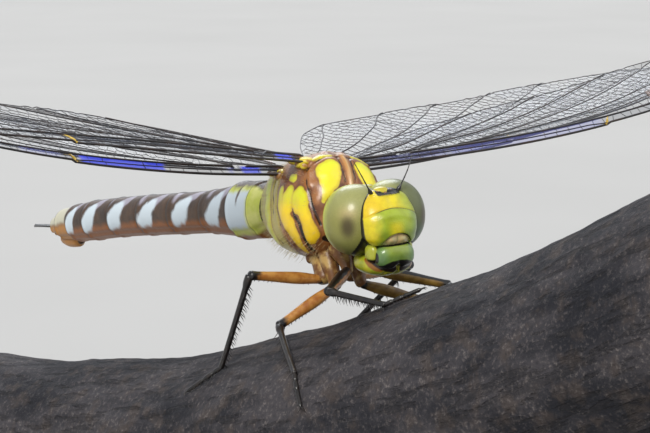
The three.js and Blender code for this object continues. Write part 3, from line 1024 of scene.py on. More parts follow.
@dataclass(frozen=True)
class WingFinish:
    """Clear glossy membrane and dark veins."""

    vein: str = "120b08"
    tint: str = "55565a"

    def membrane(self, gleams: Stops) -> Material:
        """The clear sheet, a little smoky, with a blue gleam in its front strip.

        Args:
            gleams: where each gleam starts and stops along the wing and how strong it is.

        Returns:
            The material.
        """
        kit = Kit("wing_membrane")
        span, _, strip = kit.values("wing")
        cloudy = kit.cloud(0.14, 3.0).step(0.3, 0.7)
        front = strip.step(1.02, 0.98)
        fade = 0.008
        bands = [
            span.step(start - fade, start + fade) * span.step(stop + fade, stop - fade) * strength
            for start, stop, strength in gleams
        ]
        # Painted reflection: blue where the sky glints on the front strip, which is also made less clear.
        blue = reduce(Ink.high, bands) * front
        base = span.step(0.035, 0.0)
        kit.colour = kit.blend(cloudy, self.tint, "434b5e")
        kit.lay(blue.low(1.0), kit.blend(blue, "8f96e0", "4453f2"))
        kit.lay(base, "6a3d14")
        cover = (front * 0.12 + base * 0.5 + cloudy * 0.12 + 0.2).high(blue * 0.9)
        ripple = kit.bump(kit.cloud(0.9, 2.0), 0.05, 0.6)
        return kit.surface(0.3, ripple, coat=(0.25, 0.12), Alpha=cover, Specular_IOR_Level=0.3)

    def veins(self) -> Material:
        """The veins: nearly black and satin.

        Returns:
            The material.
        """
        kit = Kit("wing_veins")
        kit.colour = kit.blend(kit.cloud(0.7).step(0.4, 0.7) * 0.5, self.vein, "38200f")
        return kit.surface(0.38, kit.bump(kit.cloud(6.0), 0.01, 0.4), coat=(0.2, 0.03))

    def thickened(self, name: str, rate: float, under: str, over: str) -> Material:
        """A thickened spot of the wing.

        Args:
            name: the material's name.
            rate: waves of its mottling for each millimetre.
            under: its ground colour.
            over: the colour of its blotches.

        Returns:
            The material.
        """
        kit = Kit(name)
        kit.colour = kit.blend(kit.cloud(rate).step(0.3, 0.7), under, over)
        return kit.surface(0.35, kit.bump(kit.cloud(5.0), 0.02, 0.4), coat=(0.3, 0.03))

    def stigma(self) -> Material:
        """The coloured cell near the tip: amber brown."""
        return self.thickened("wing_stigma", 1.5, "4a2a10", "7a4a1c")

    def joint(self) -> Material:
        """The thickened joint of the wing's front edge: yellow."""
        return self.thickened("wing_joint", 2.0, "c9a72e", "8a6a1c")


@dataclass(frozen=True)
class BarkFinish:
    """Rough dark bark with fine mottling, and the wood of its cut ends."""

    dark: str = "1c1d25"
    mid: str = "454246"
    pale: str = "857d7a"
    warm: str = "51463f"
    radius: float = 9.5

    def wood_of(self, kit: Kit) -> Ink:
        """Rings, heart and cracks of the cut ends."""
        radius = kit.value("rings")
        grain = (radius * 14.0 + kit.cloud(0.5, 3.0) * 5.0).sine() * 0.5 + 0.5
        wood = kit.blend(radius.step(7.9, 8.5), kit.blend(grain, "9a7448", "c6a273"), "4a3222")
        return kit.blend(kit.cloud(3.0, 5.0).step(0.45, 0.7) * 0.4, wood, "6e4d2c")

    def make(self) -> Material:
        """Builds the material.

        Returns:
            The material.
        """
        kit = Kit("branch_bark")
        along, turn, cut = kit.values("bark")
        round_x, round_y = turn.sine() * self.radius, (turn + math.pi / 2).sine() * self.radius
        lengthways = kit.point(along * 0.5, round_x, round_y)
        broad = kit.cloud(0.2, 5.0, 0.62, lengthways)
        fine = kit.cloud(2.6, 6.0, 0.78)
        fissure = kit.cloud(0.8, 4.0, 0.6, kit.stretch((0.6, 1.5, 1.5), lengthways)).step(0.46, 0.36)
        kit.colour = kit.blend(broad.step(0.36, 0.62), self.dark, self.mid)
        kit.lay(kit.cloud(0.5, 3.0).step(0.5, 0.68) * 0.5, self.warm)
        kit.lay(fine.step(0.5, 0.72) * (broad.step(0.3, 0.6) * 0.6 + 0.25), self.pale)
        kit.lay(fine.step(0.46, 0.32) * 0.6, "17171c")
        kit.lay(fissure * 0.35, "151213")
        kit.lay(cut.step(0.4, 0.6), self.wood_of(kit))
        relief = kit.bump(fine, 0.45, 0.8, kit.bump(broad, 1.0, 0.6, kit.bump(fissure, -0.4, 0.8)))
        return kit.surface(fine * 0.2 + 0.68, relief, Specular_IOR_Level=0.35)


@dataclass(frozen=True)
class StandFinish:
    """Dark lacquered wood and brushed brass."""

    wood: str = "3a2417"
    grain: str = "1d110a"

    def base(self) -> Material:
        """The plate: dark wood under satin lacquer.

        Returns:
            The material.
        """
        kit = Kit("stand_wood")
        bend = kit.cloud(1.0, 2.0, at=kit.stretch((0.05, 0.015, 0.05))) * 22.0
        x, _, _ = kit.place.parts()
        warped = kit.cloud(1.6, 5.0, at=kit.stretch((1.0, 0.07, 1.0)))
        lines = ((x * 1.1 + bend).sine() * 0.5 + 0.5) * 0.6 + warped * 0.5
        kit.colour = kit.blend(lines.step(0.25, 0.95), self.wood, self.grain)
        pores = kit.cells(1.0, kit.stretch((2.6, 0.22, 2.6))).step(0.12, 0.02)
        kit.lay(pores * 0.6, "0e0704")
        relief = kit.bump(pores, -0.05, 0.4, kit.bump(lines, 0.03, 0.5))
        return kit.surface(lines * 0.06 + 0.42, relief, coat=(0.35, 0.2))

    def rod(self) -> Material:
        """The rods: brushed brass.

        Returns:
            The material.
        """
        kit = Kit("stand_brass")
        brushed = kit.cloud(1.2, 4.0, at=kit.stretch((1.0, 1.0, 14.0)))
        kit.colour = kit.blend(kit.cloud(0.35, 3.0).step(0.45, 0.75) * 0.5, "c0a06a", "8a6e42")
        return kit.surface(brushed * 0.22 + 0.2, kit.bump(brushed, 0.02, 0.5), Metallic=1.0)


# --- head


@dataclass(frozen=True)
class Lump:
    """A rounded block: its middle, half sizes, squareness (2 is a true ellipsoid) and fineness."""

    centre: Point
    radii: Point
    power: float
    detail: int = 5

    def form(self) -> Form:
        """Draws the block out of a ball.

        Returns:
            The form.
        """
        form = Form.ball(self.detail)
        terms = (np.abs(form.points) / np.array(self.radii)) ** self.power
        form.points *= terms.sum(axis=1, keepdims=True) ** (-1 / self.power)
        form.points += np.array(self.centre)
        return form


@dataclass
class Head:
    """The head: eyes, face plates, feelers and the back of the skull, in a frame of its own."""

    centre: Point = (0.0, -9.8, -0.4)
    turn: float = -1.5
    roll: float = 3.5
    eye_offset: float = 1.83
    eye_height: float = 0.12
    eye_radii: Point = (2.8, 2.75, 3.08)
    face_half: Stops = (
        (-2.1, 1.5), (-1.7, 2.02), (-1.2, 2.4), (-0.5, 2.59), (0.3, 2.62), (1, 2.5), (1.5, 2.34), (2, 2.1),
        (2.3, 1.84), (2.65, 1.3),
    )
    face_front: Stops = (
        (-2.1, 3.55), (-1.75, 4.0), (-1.3, 4.25), (-0.5, 4.36), (0.2, 4.3), (0.9, 4.06), (1.44, 3.74),
        (1.9, 3.36), (2.3, 2.98), (2.65, 2.3),
    )
    face_rear: Stops = ((-3, 0.9), (3, 0.9))
    upper_lip: Lump = Lump((-0.08, -3.28, -2.75), (1.82, 0.97, 1.1), 2.6, 6)
    lower_lip: Lump = Lump((0, -1.1, -3.6), (2.3, 2.6, 1.1), 2.4, 6)
    jaws: Sequence[Lump] = (
        Lump((1.64, -2.3, -2.5), (0.5, 0.78, 0.85), 2.3),
        Lump((-1.8, -2.5, -2.45), (0.5, 0.78, 0.85), 2.3),
    )
    vertex: Lump = Lump((-0.25, -1.72, 2.52), (0.78, 0.62, 0.5), 2.2)
    simple_eyes: Sequence[Point] = ((-0.1, -2.28, 2.5), (0.55, -2.1, 2.62), (-0.75, -2.1, 2.62))
    skull: Lump = Lump((0, 1.35, -0.25), (3.75, 1.2, 2.75), 2.6, 6)
    cheek: Lump = Lump((-0.1, -1.35, -0.75), (2.5, 1.5, 2.15), 2.6)
    occiput: Lump = Lump((0, 1.15, 2.3), (0.95, 0.85, 0.55), 2.2)
    antenna_root: Point = (1.25, -2.0, 2.45)
    antenna_tip: Point = (2.9, -2.05, 5.6)
    face: FaceFinish = FaceFinish()
    eye: EyeFinish = EyeFinish()

    def placed(self, points: np.ndarray) -> np.ndarray:
        """Points of the head's own frame in the body's."""
        turn = Matrix.Rotation(math.radians(self.turn), 3, "Z")
        roll = Matrix.Rotation(math.radians(-self.roll), 3, "Y")
        return points @ np.array(turn @ roll).T + self.centre

    def seat(self, form: Form) -> Form:
        """Moves a form from the head's own frame into the body's, and gives it back."""
        form.carry(head=form.points.copy())
        form.points = self.placed(form.points)
        return form.face_out()

    def build_eyes(self) -> None:
        """The two compound eyes, which meet along the crown."""
        finish = self.eye.make()
        for side in Side:
            form = Lump((side.value * self.eye_offset, 0.0, self.eye_height), self.eye_radii, 2.12, 6).form()
            x, y, z = form.points.T
            outer = x * side.value
            # The eye is drawn in a little along its rear edge.
            form.points[:, 1] -= 0.35 * smooth(y, 1.2, 2.8)
            # A narrow dark margin runs down the side that meets the face.
            margin = 1.54 + 0.42 * smooth(z, 1.6, 0.2) + 0.5 * smooth(z, 0.0, -0.9)
            margin += 0.3 * smooth(z, -0.8, -2.3)
            if side is Side.RIGHT:
                margin += 0.24 * smooth(z, 2.2, 1.2)
            margin -= 1.2 * smooth(z, 2.1, 2.6)
            form.carry(
                smudge=hill((outer - 3.75) / 0.75, (y + 2.0) / 0.8, z / 1.15),
                brink=smooth(margin - outer, 0.0, 0.14) * smooth(y, -0.9, -1.3),
                # Where the eye's painted highlight lies.
                glow=hill((x + 3.7) / 0.8, (y + 2.0) / 0.8, (z - 1.15) / 0.6),
            )
            hand_over(self.seat(form).place(f"eye_{side.word}_shell", finish), "eye", f"eye_{side.word}")

    @staticmethod
    def face_middle(z: np.ndarray) -> np.ndarray:
        """Where the middle of the face lies at each height: it bows a little to the right."""
        return 0.14 * smooth(z, 1.5, 2.4) + 0.26 * smooth(z, -1.0, -1.9) - 0.2

    def plate(self, ends: Point, upper: bool) -> tuple[Form, np.ndarray]:
        """The smooth front of the face between two heights, sunk past the seam of brow and nose.

        Args:
            ends: the two heights.
            upper: whether it is the plate above the seam.

        Returns:
            The form, and each point's height above the seam.
        """
        form = Trunk(ends, self.face_front, self.face_rear, self.face_half, 2.35).loft(120, 84)
        x, z, y = form.points.T
        form.points = np.column_stack([x + self.face_middle(z), -y, z])
        x, _, z = form.points.T
        above = z - (1.41 - 0.12 * (x + 0.3) ** 2)
        sunk = -above if upper else above
        form.points[:, 1] += 0.06 * smooth(sunk, -0.16, -0.02) + 0.6 * smooth(sunk, 0.0, 0.35)
        aside = np.abs(x - self.face_middle(z)) / profile(self.face_half)(z)
        return form.carry(seam=np.abs(above), flank=aside), above

    def fringe(self) -> Object:
        """Short black bristles along the front of the brow's dark bar.

        Returns:
            The bristles.
        """
        rng = np.random.default_rng(3)
        lines = []
        for across in np.linspace(-0.95, 1.05, 44):
            foot = np.array([across, -2.75 + 0.1 * across**2, 2.46 + rng.uniform(-0.05, 0.05)])
            tip = foot + np.array([rng.uniform(-0.05, 0.05), -0.17, 0.02 + rng.uniform(-0.14, 0.03)])
            middle = (foot + tip) / 2 + [0, 0, 0.03]
            lines.append((self.placed(np.array([foot, middle, tip])), (0.017, 0.012, 0.004)))
        return strands("fringe", lines, LegFinish().dark())

    def build_plates(self) -> None:
        """The brow with its bristles, and the nose plate with a smaller plate in its lower edge."""
        form, _ = self.plate((0.7, 2.62), upper=True)
        x, _, z = form.points.T
        form.points[:, 1] += 0.1 * hill((x + 0.1) / 0.3) * smooth(z, 1.3, 2.1)
        brow = self.seat(form).place("frons_plate", self.face.frons())
        hand_over(together("frons_plate", [brow, self.fringe()]), "face", "frons")

        form, above = self.plate((-2.05, 1.8), upper=False)
        x, y, z = form.points.T
        form.points[:, 1] -= 0.1 * hill((above + 0.5) / 0.3) * smooth(np.abs(x), 2.0, 1.2)
        aside = np.abs(x + 0.14)
        round_top = np.sqrt(np.clip(1 - (aside / 1.4) ** 2, 0, 1))
        arch = np.where(aside < 1.4, -1.74 + 1.04 * round_top - z, 0.4 - aside)
        lobes = hill((aside - 0.56) / 0.4, (z + 1.32) / 0.3)
        form.points[:, 1] += (0.24 * smooth(arch, -0.03, 0.12) - 0.2 * lobes) * smooth(y, -2.8, -3.2)
        form.points[:, 1] += 0.5 * smooth(z, -1.66, -1.9)
        nose = self.seat(form.carry(arch=arch)).place("clypeus_plate", self.face.clypeus())
        hand_over(nose, "face", "clypeus")

    def build_mouth(self) -> None:
        """The upper lip, the jaws and the lower lip."""
        form = self.upper_lip.form()
        x, _, z = form.points.T
        form.points[:, 2] += 0.28 * hill((x + 0.08) / 0.3) * smooth(z, -3.2, -3.8)
        form.points[:, 1] += 0.05 * hill((x + 0.08) / 0.2) * smooth(z, -2.5, -3.3)
        hand_over(self.seat(form).place("upper_lip", self.face.labrum()), "labrum", "labrum")

        finish = self.face.mandible()
        for side, jaw in zip(Side, self.jaws):
            piece = self.seat(jaw.form()).place(f"jaw_{side.word}", finish)
            hand_over(piece, "face", f"mandible_{side.word}")

        form = self.lower_lip.form()
        x, _, z = form.points.T
        form.points[:, 2] += 0.3 * hill(x / 0.16) * smooth(z, -3.9, -4.5)
        form.points[:, 2] += 0.16 * hill((np.abs(x) - 1.15) / 0.12) * smooth(z, -3.9, -4.4)
        hand_over(self.seat(form).place("lower_lip", self.face.labium()), "face", "labium")

    def build_skull(self) -> None:
        """The back of the head, with the bump between the eyes and its three simple eyes."""
        form = self.skull.form()
        x, y, z = form.points.T
        form.points[:, 1] -= 0.45 * hill(x / 1.2, z + 0.7) * smooth(y, 1.8, 2.5)
        pieces = [self.seat(form).place("skull", self.face.skull())]
        pieces.append(self.seat(self.vertex.form()).place("vertex", self.face.vertex()))
        finish = self.face.bead()
        for centre in self.simple_eyes:
            bead = Lump(centre, (0.17, 0.17, 0.17), 2, 3)
            pieces.append(self.seat(bead.form()).place("bead", finish))
        for lump in (self.cheek, self.occiput):
            pieces.append(self.seat(lump.form()).place("back", self.face.skull()))
        hand_over(together("skull", pieces), "skull", "head")

    def build_feelers(self) -> None:
        """The two feelers: two thick joints at the root, then a thin jointed thread."""
        dark = LegFinish().dark()
        shares = np.linspace(0, 1, 24)
        radii = 0.07 - 0.045 * shares + 0.012 * (np.arange(24) % 4 == 0)
        radii[:4] = (0.2, 0.19, 0.2, 0.13)
        for side in Side:
            mirror = np.array([side.value, 1, 1])
            root, tip = self.antenna_root * mirror, self.antenna_tip * mirror
            bow = np.outer(np.sin(shares * math.pi), [0.12 * side.value, -0.2, 0.1])
            line = self.placed(root + np.outer(shares, tip - root) + bow)
            feeler = strands(f"feeler_{side.word}", [(line, radii)], dark, 8)
            hand_over(feeler, "dark", f"antenna_{side.word}")

    def build(self) -> None:
        """Builds the whole head."""
        self.build_eyes()
        self.build_plates()
        self.build_mouth()
        self.build_skull()
        self.build_feelers()


# --- thorax


WING_ROOTS = {
    ("forewing", Side.LEFT): (2.2, -2.3, 3.3),
    ("forewing", Side.RIGHT): (-2.2, -2.3, 4.0),
    ("hindwing", Side.LEFT): (2.2, 1.4, 2.2),
    ("hindwing", Side.RIGHT): (-2.2, 1.4, 2.5),
}


@dataclass(frozen=True)
class ThoraxMarks:
    """Where the stripes and seams of one side run, and the small rises and plates.

    Each corner of a stripe or seam is its place along the body, its angle from the midline in
    degrees and the half width there. The first six stripes stand a little proud.
    """

    stripes: Sequence[Stops] = (
        ((-4.25, 22, 0.85), (-4.55, 30, 1.2), (-5.05, 38, 0.95), (-5.4, 54, 0.5), (-5.5, 72, 0.2)),
        ((-2.95, 13, 0.22), (-2.85, 24, 0.34), (-2.8, 33, 0.3)),
        (
            (-3.4, 73, 0.7), (-3.45, 82, 1.2), (-4.2, 95, 0.68), (-4.62, 110, 0.7), (-4.75, 123, 0.82),
            (-4.4, 133, 0.5),
        ),
        ((-1.9, 75, 0.72), (-1.6, 86, 1.0), (-1.7, 99, 0.75), (-2.1, 110, 0.4)),
        (
            (-0.4, 75, 0.5), (-0.55, 92, 0.6), (-1.45, 104, 0.85), (-2.3, 114, 0.88), (-2.8, 126, 0.75),
            (-2.95, 140, 0.5), (-2.9, 150, 0.3),
        ),
        ((3.2, 70, 0.85), (2.5, 110, 0.95), (1.2, 140, 0.6)),
        ((-1.9, 58, 0.44), (-1.4, 58, 0.36)),
        ((-0.6, 0, 0.4), (-0.2, 0, 0.4)),
        ((2.6, 0, 0.42), (3.1, 0, 0.4)),
    )
    seams: Sequence[Stops] = (
        ((-3.7, 56, 0.08), (-4.44, 69, 0.1), (-4.92, 84, 0.11), (-5.29, 98, 0.12), (-5.5, 113, 0.13)),
        (
            (-2.5, 96, 0.03), (-3.05, 103, 0.15), (-3.68, 110, 0.18), (-3.89, 123, 0.2), (-3.87, 136, 0.2),
            (-3.6, 151, 0.2),
        ),
        ((0.75, 66, 0.05), (0.65, 92, 0.06), (-0.3, 112, 0.08), (-1.3, 140, 0.1)),
        ((2.0, 62, 0.05), (1.3, 100, 0.08), (0.2, 140, 0.1)),
        ((-5.3, 12, 0.08), (-4.3, 8, 0.07), (-3.35, 8, 0.08)),
        ((-3.12, 6, 0.08), (-3.2, 28, 0.08), (-3.15, 46, 0.1)),
        # Painted shadow: a dark blob for the gap under the eye, laid in among the seams.
        ((-5.35, 140, 0.3), (-5.45, 147, 0.36)),
        ((-2.3, 0, 0.05), (-2.2, 35, 0.07)),
        ((0.15, 0, 0.07), (0.05, 32, 0.09)),
        ((3.4, 0, 0.07), (3.3, 34, 0.08)),
        ((5.2, 0, 0.05), (5.1, 40, 0.06)),
        ((-2.2, 15, 0.04), (0.1, 17, 0.04)),
        ((0.3, 15, 0.04), (3.3, 17, 0.04)),
    )
    # Each rise of the back: place aside and along, half width, half length and height.
    knuckles: Stops = (
        (0.8, -1.5, 0.6, 0.6, 0.22), (0, -0.6, 0.8, 0.5, 0.34), (0.75, 1.2, 0.6, 0.7, 0.22),
        (0, 2.4, 0.8, 0.6, 0.34), (0, 0.7, 1.0, 0.4, -0.25), (0, 4.2, 1.4, 0.7, 0.16),
    )
    # Each plate at the root of a left wing: its middle, from the root, and its half sizes.
    plates: Sequence[tuple[Point, Point]] = (
        ((0.1, 0.4, -0.1), (0.85, 0.95, 0.36)), ((0.85, 0.15, -0.35), (0.48, 0.52, 0.34)),
        ((0.8, 1.5, -0.25), (0.45, 0.6, 0.28)), ((0.9, -0.7, -0.45), (0.34, 0.3, 0.24)),
    )


@dataclass
class Thorax:
    """The winged trunk, its collar and the neck, rolled a little to the left."""

    shape: Trunk = Trunk(
        ends=(-6.0, 7.0),
        back=((-6, 0.6), (-5, 2.6), (-3.4, 4.1), (-2, 4.35), (1, 3.7), (4, 2.7), (6, 1.6), (7, 0.8)),
        belly=((-6, -2.2), (-5, -3.6), (-3.2, -4.6), (-1, -5.1), (1.5, -5), (4, -4.3), (6, -3.5), (7, -2.9)),
        width=((-6, 2.1), (-5, 3.4), (-3.4, 3.95), (-1, 4.05), (1.5, 3.8), (4, 3.2), (6, 2.4), (7, 1.9)),
        power=2.7,
    )
    collar: Trunk = Trunk(
        ends=(-6.75, -4.8),
        back=((-6.7, -0.1), (-5.8, 0.7), (-4.6, 0.6)),
        belly=((-6.7, -2.9), (-5.8, -3.7), (-4.6, -3.9)),
        width=((-6.7, 1.2), (-5.8, 1.9), (-4.6, 2.0)),
        power=2.7,
    )
    axis: float = -0.5
    roll: float = 8.0
    marks: ThoraxMarks = ThoraxMarks()
    finish: ThoraxFinish = ThoraxFinish()

    def spot(self, y: float, angle: float) -> tuple[float, float, float]:
        """The place on the unrolled trunk at an angle from its midline.

        Args:
            y: the place along the body.
            angle: the angle, in degrees.

        Returns:
            The place.
        """
        turn = np.linspace(0, math.pi, 721)
        across, upward = np.sin(turn), np.cos(turn)
        half, middle, rise = self.shape.section(y)
        reach = squared_ring(across, upward, self.shape.power)
        x, z = half * across * reach, middle + rise * upward * reach
        seen = np.degrees(np.arctan2(x, z - self.axis))
        k = int(np.argmin(np.abs(seen - angle)))
        return float(x[k]), y, float(z[k])

    def lines(self, paths: Sequence[Stops]) -> list[Path]:
        """Turns marks into corners in space, each with its half width."""
        return [[(self.spot(y, angle), half) for y, angle, half in path] for path in paths]

    def rolled(self, points: np.ndarray) -> np.ndarray:
        """Points of the unrolled trunk after its roll."""
        turn = math.radians(self.roll)
        x, y, z = (points - self.axis * Z_AXIS).T
        turned = [x * math.cos(turn) + z * math.sin(turn), y, z * math.cos(turn) - x * math.sin(turn)]
        return np.column_stack(turned) + self.axis * Z_AXIS

    def relief(self, points: np.ndarray, stripes: Sequence[Path], seams: Sequence[Path]) -> np.ndarray:
        """How far the shell stands out at each point.

        Args:
            points: the points of the smooth trunk.
            stripes: the middle lines of the stripes.
            seams: those of the seams.

        Returns:
            One height for each point.
        """
        folded = np.column_stack([np.abs(points[:, 0]), points[:, 1:]])
        x, y, z = folded.T
        lift = 0.04 * wander(points, 2.2)
        ridges = [([corner for corner, _ in path], -0.15, 0.14) for path in seams]
        ridges += [([corner for corner, _ in path], 0.12, 0.9) for path in stripes[:6]]
        ridges.append(([(0, -3.0, 4.2), (3.0, -2.9, 3.4)], 0.16, 0.16))
        ridges.append(([self.spot(-3.61, 47), self.spot(-4.16, 61)], 0.14, 0.3))
        for line, height, width in ridges:
            lift += height * hill(near(folded, line) / width)
        lift += 0.22 * hill(x / 0.16) * smooth(y, -2.6, -3.4) * smooth(z, -0.5, 1.0)
        for aside, back, wide, long, high in self.marks.knuckles:
            lift += high * hill((x - aside) / wide, (y - back) / long) * smooth(z, 1.5, 2.8)
        return lift

    def root_plates(self) -> list[Object]:
        """The small plates at the roots of the wings."""
        finish = self.finish.root()
        pieces = []
        for (_, side), root in WING_ROOTS.items():
            for centre, radii in self.marks.plates:
                form = Lump(root + np.array([side.value, 1, 1]) * centre, radii, 2.2, 4).form()
                pieces.append(form.push(0.05 * wander(form.points, 2.6)).face_out().place("knob", finish))
        return pieces

    def build_trunk(self) -> Material:
        """The striped trunk with its seams, ridges and the plates at the wings.

        Returns:
            The shell's material.
        """
        stripes, seams = self.lines(self.marks.stripes), self.lines(self.marks.seams)
        shell = self.finish.make(stripes, seams)
        form = self.shape.loft(190, 150)
        form.push(self.relief(form.points, stripes, seams)).carry(body=form.points)
        form.points = self.rolled(form.points)
        hand_over(together("trunk", [form.place("trunk", shell), *self.root_plates()]), "thorax", "thorax")
        return shell

    def build_collar(self, shell: Material) -> None:
        """The narrow collar behind the head, and the neck.

        Args:
            shell: the trunk's material.
        """
        form = self.collar.loft(64, 40)
        _, y, z = form.points.T
        form.push(0.12 * np.sin(y * 7.0) * smooth(z, -3.0, 0.0) + 0.03 * wander(form.points, 3.0))
        hand_over(form.carry(body=form.points.copy()).place("collar", shell), "thorax", "prothorax")
        tube = Tube(32, 20, 0.2)
        radius = 0.8 * tube.size * (1 + 0.1 * np.sin(tube.along * 18))
        tube.lay(
            np.array([0.0, -7.5, -1.3]),
            (X_AXIS, radius * tube.across),
            (Y_AXIS, tube.along * 1.3 + tube.bulge * 0.2),
            (Z_AXIS, radius * tube.upward),
        )
        hand_over(tube.place("neck_tube", self.finish.coxa()), "thorax", "neck")

    def build(self) -> None:
        """Builds the trunk, the collar and the neck."""
        self.build_collar(self.build_trunk())


@dataclass
class Down:
    """The fine pale hairs of the trunk."""

    count: int = 1700
    length: float = 0.62
    radius: float = 0.011

    def build(self, trunk: Thorax) -> None:
        """Builds the hairs, each with its own patch of the baking map at its root.

        Args:
            trunk: the trunk that they stand on.
        """
        rng = np.random.default_rng(11)
        ys = rng.uniform(-5.3, 5.5, self.count)
        angles = rng.uniform(-165, 165, self.count)
        roots = np.array([trunk.spot(y, abs(angle)) for y, angle in zip(ys, angles)])
        roots[:, 0] = np.copysign(roots[:, 0], angles)
        out = unit(roots * [1, 0.3, 1] - [0, -0.3, trunk.axis])
        lean = unit(out + [0, 0.55, -0.25] + rng.normal(0, 0.18, out.shape))
        size = self.length * rng.uniform(0.6, 1.15, self.count)
        size *= 0.55 + 0.75 * smooth(np.abs(angles), 100, 150)
        middles = roots + lean * size[:, None] * 0.55
        tips = roots + (lean + [0, 0.16, -0.06]) * size[:, None]
        hairs = np.stack([trunk.rolled(points) for points in (roots - 0.06 * out, middles, tips)], axis=1)
        radii = self.radius * np.array([1, 0.7, 0.2])
        down = strands("trunk_hair", [(hair, radii) for hair in hairs], trunk.finish.hair())
        each = len(down.data.vertices) // self.count
        owner = np.empty(len(down.data.loops), dtype=np.int32)
        down.data.loops.foreach_get("vertex_index", owner)
        hair, turn = owner // each, (owner % each) * 2 * math.pi / each
        patch = np.column_stack([angles[hair] / 360 + 0.5, (ys[hair] + 6) / 13])
        patch += 0.0015 * np.column_stack([np.cos(turn), np.sin(turn)])
        down.data.uv_layers.new(name="OFBake").uv.foreach_set("vector", patch.astype(np.float32).ravel())
        hand_over(down, "thorax")


# --- wings


# Radius at the root and at the tip and height of the pleat, for the veins that both pairs have.
SHARED_VEINS = (
    (0.14, 0.09, -0.22), (0.08, 0.05, -0.02), (0.14, 0.07, 0.24), (0.1, 0.05, -0.12), (0.07, 0.04, 0.05),
    (0.08, 0.045, 0.12), (0.08, 0.045, -0.08), (0.09, 0.05, 0.12), (0.09, 0.05, -0.1), (0.09, 0.05, 0.08),
)
FORE_GAUGES = (*SHARED_VEINS, (0.05, 0.04, 0.0))
HIND_GAUGES = (*SHARED_VEINS, (0.07, 0.05, -0.06), (0.05, 0.04, 0.0))
# The line of each vein: its share of the chord behind the front edge, from root to tip.
FORE_PATHS = (
    ((0, 0), (1, 0)),
    ((0, 0.2), (0.1, 0.09), (0.3, 0.062), (0.49, 0.045), (0.53, 0.0), (1, 0)),
    ((0, 0.4), (0.06, 0.19), (0.13, 0.14), (0.3, 0.108), (0.5, 0.096), (0.8, 0.105), (0.95, 0.25), (1, 0.5)),
    ((0, 0.4), (0.12, 0.14), (0.16, 0.175), (0.3, 0.165), (0.5, 0.15), (0.75, 0.2), (0.92, 0.4), (1, 0.7)),
    ((0, 0.4), (0.4, 0.16), (0.5, 0.2), (0.65, 0.3), (0.8, 0.5), (0.93, 0.85), (0.97, 1), (1, 1)),
    (
        (0, 0.4), (0.2, 0.17), (0.26, 0.22), (0.4, 0.27), (0.55, 0.36), (0.7, 0.53), (0.82, 0.76),
        (0.9, 1), (1, 1),
    ),
    ((0, 0.4), (0.2, 0.17), (0.24, 0.25), (0.4, 0.42), (0.55, 0.6), (0.68, 0.84), (0.74, 1), (1, 1)),
    ((0, 0.4), (0.12, 0.16), (0.17, 0.36), (0.3, 0.46), (0.45, 0.68), (0.58, 0.93), (0.63, 1), (1, 1)),
    ((0, 0.45), (0.12, 0.4), (0.18, 0.52), (0.28, 0.66), (0.4, 0.86), (0.47, 1), (1, 1)),
    ((0, 0.6), (0.1, 0.58), (0.2, 0.76), (0.3, 0.96), (0.33, 1), (1, 1)),
    ((0, 1), (1, 1)),
)
HIND_PATHS = (
    ((0, 0), (1, 0)),
    ((0, 0.12), (0.1, 0.06), (0.3, 0.045), (0.405, 0.035), (0.445, 0.0), (1, 0)),
    ((0, 0.22), (0.06, 0.11), (0.13, 0.09), (0.3, 0.078), (0.5, 0.08), (0.8, 0.1), (0.95, 0.25), (1, 0.5)),
    ((0, 0.22), (0.11, 0.09), (0.15, 0.12), (0.3, 0.125), (0.5, 0.13), (0.75, 0.19), (0.92, 0.4), (1, 0.7)),
    ((0, 0.22), (0.34, 0.12), (0.45, 0.18), (0.62, 0.29), (0.8, 0.52), (0.93, 0.87), (0.97, 1), (1, 1)),
    (
        (0, 0.22), (0.17, 0.12), (0.22, 0.16), (0.4, 0.23), (0.55, 0.34), (0.7, 0.54), (0.82, 0.8),
        (0.89, 1), (1, 1),
    ),
    ((0, 0.22), (0.17, 0.12), (0.21, 0.19), (0.38, 0.35), (0.52, 0.54), (0.66, 0.84), (0.72, 1), (1, 1)),
    ((0, 0.22), (0.1, 0.11), (0.14, 0.24), (0.28, 0.38), (0.42, 0.6), (0.55, 0.9), (0.6, 1), (1, 1)),
    ((0, 0.3), (0.1, 0.3), (0.16, 0.38), (0.28, 0.56), (0.4, 0.84), (0.46, 1), (1, 1)),
    ((0, 0.4), (0.08, 0.42), (0.15, 0.5), (0.25, 0.74), (0.33, 1), (1, 1)),
    ((0, 0.7), (0.06, 0.68), (0.12, 0.8), (0.18, 1), (1, 1)),
    ((0, 1), (1, 1)),
)


def circle_centre(a: Vector, b: Vector, c: Vector) -> tuple[float, float] | None:
    """The centre of the circle through three points.

    Args:
        a: the first point.
        b: the second.
        c: the third.

    Returns:
        The centre, or None where the points lie in a line.
    """
    spread = 2 * (a.x * (b.y - c.y) + b.x * (c.y - a.y) + c.x * (a.y - b.y))
    if abs(spread) < 1e-9:
        return None
    turns = [(p.length_squared, q, r) for p, q, r in ((a, b, c), (b, c, a), (c, a, b))]
    x = sum(square * (q.y - r.y) for square, q, r in turns) / spread
    y = sum(square * (r.x - q.x) for square, q, r in turns) / spread
    return x, y


@dataclass(frozen=True)
class Vein:
    """One long vein: its shares of the chord behind the front edge, its radii and its pleat."""

    path: Stops
    root: float
    tip: float
    pleat: float


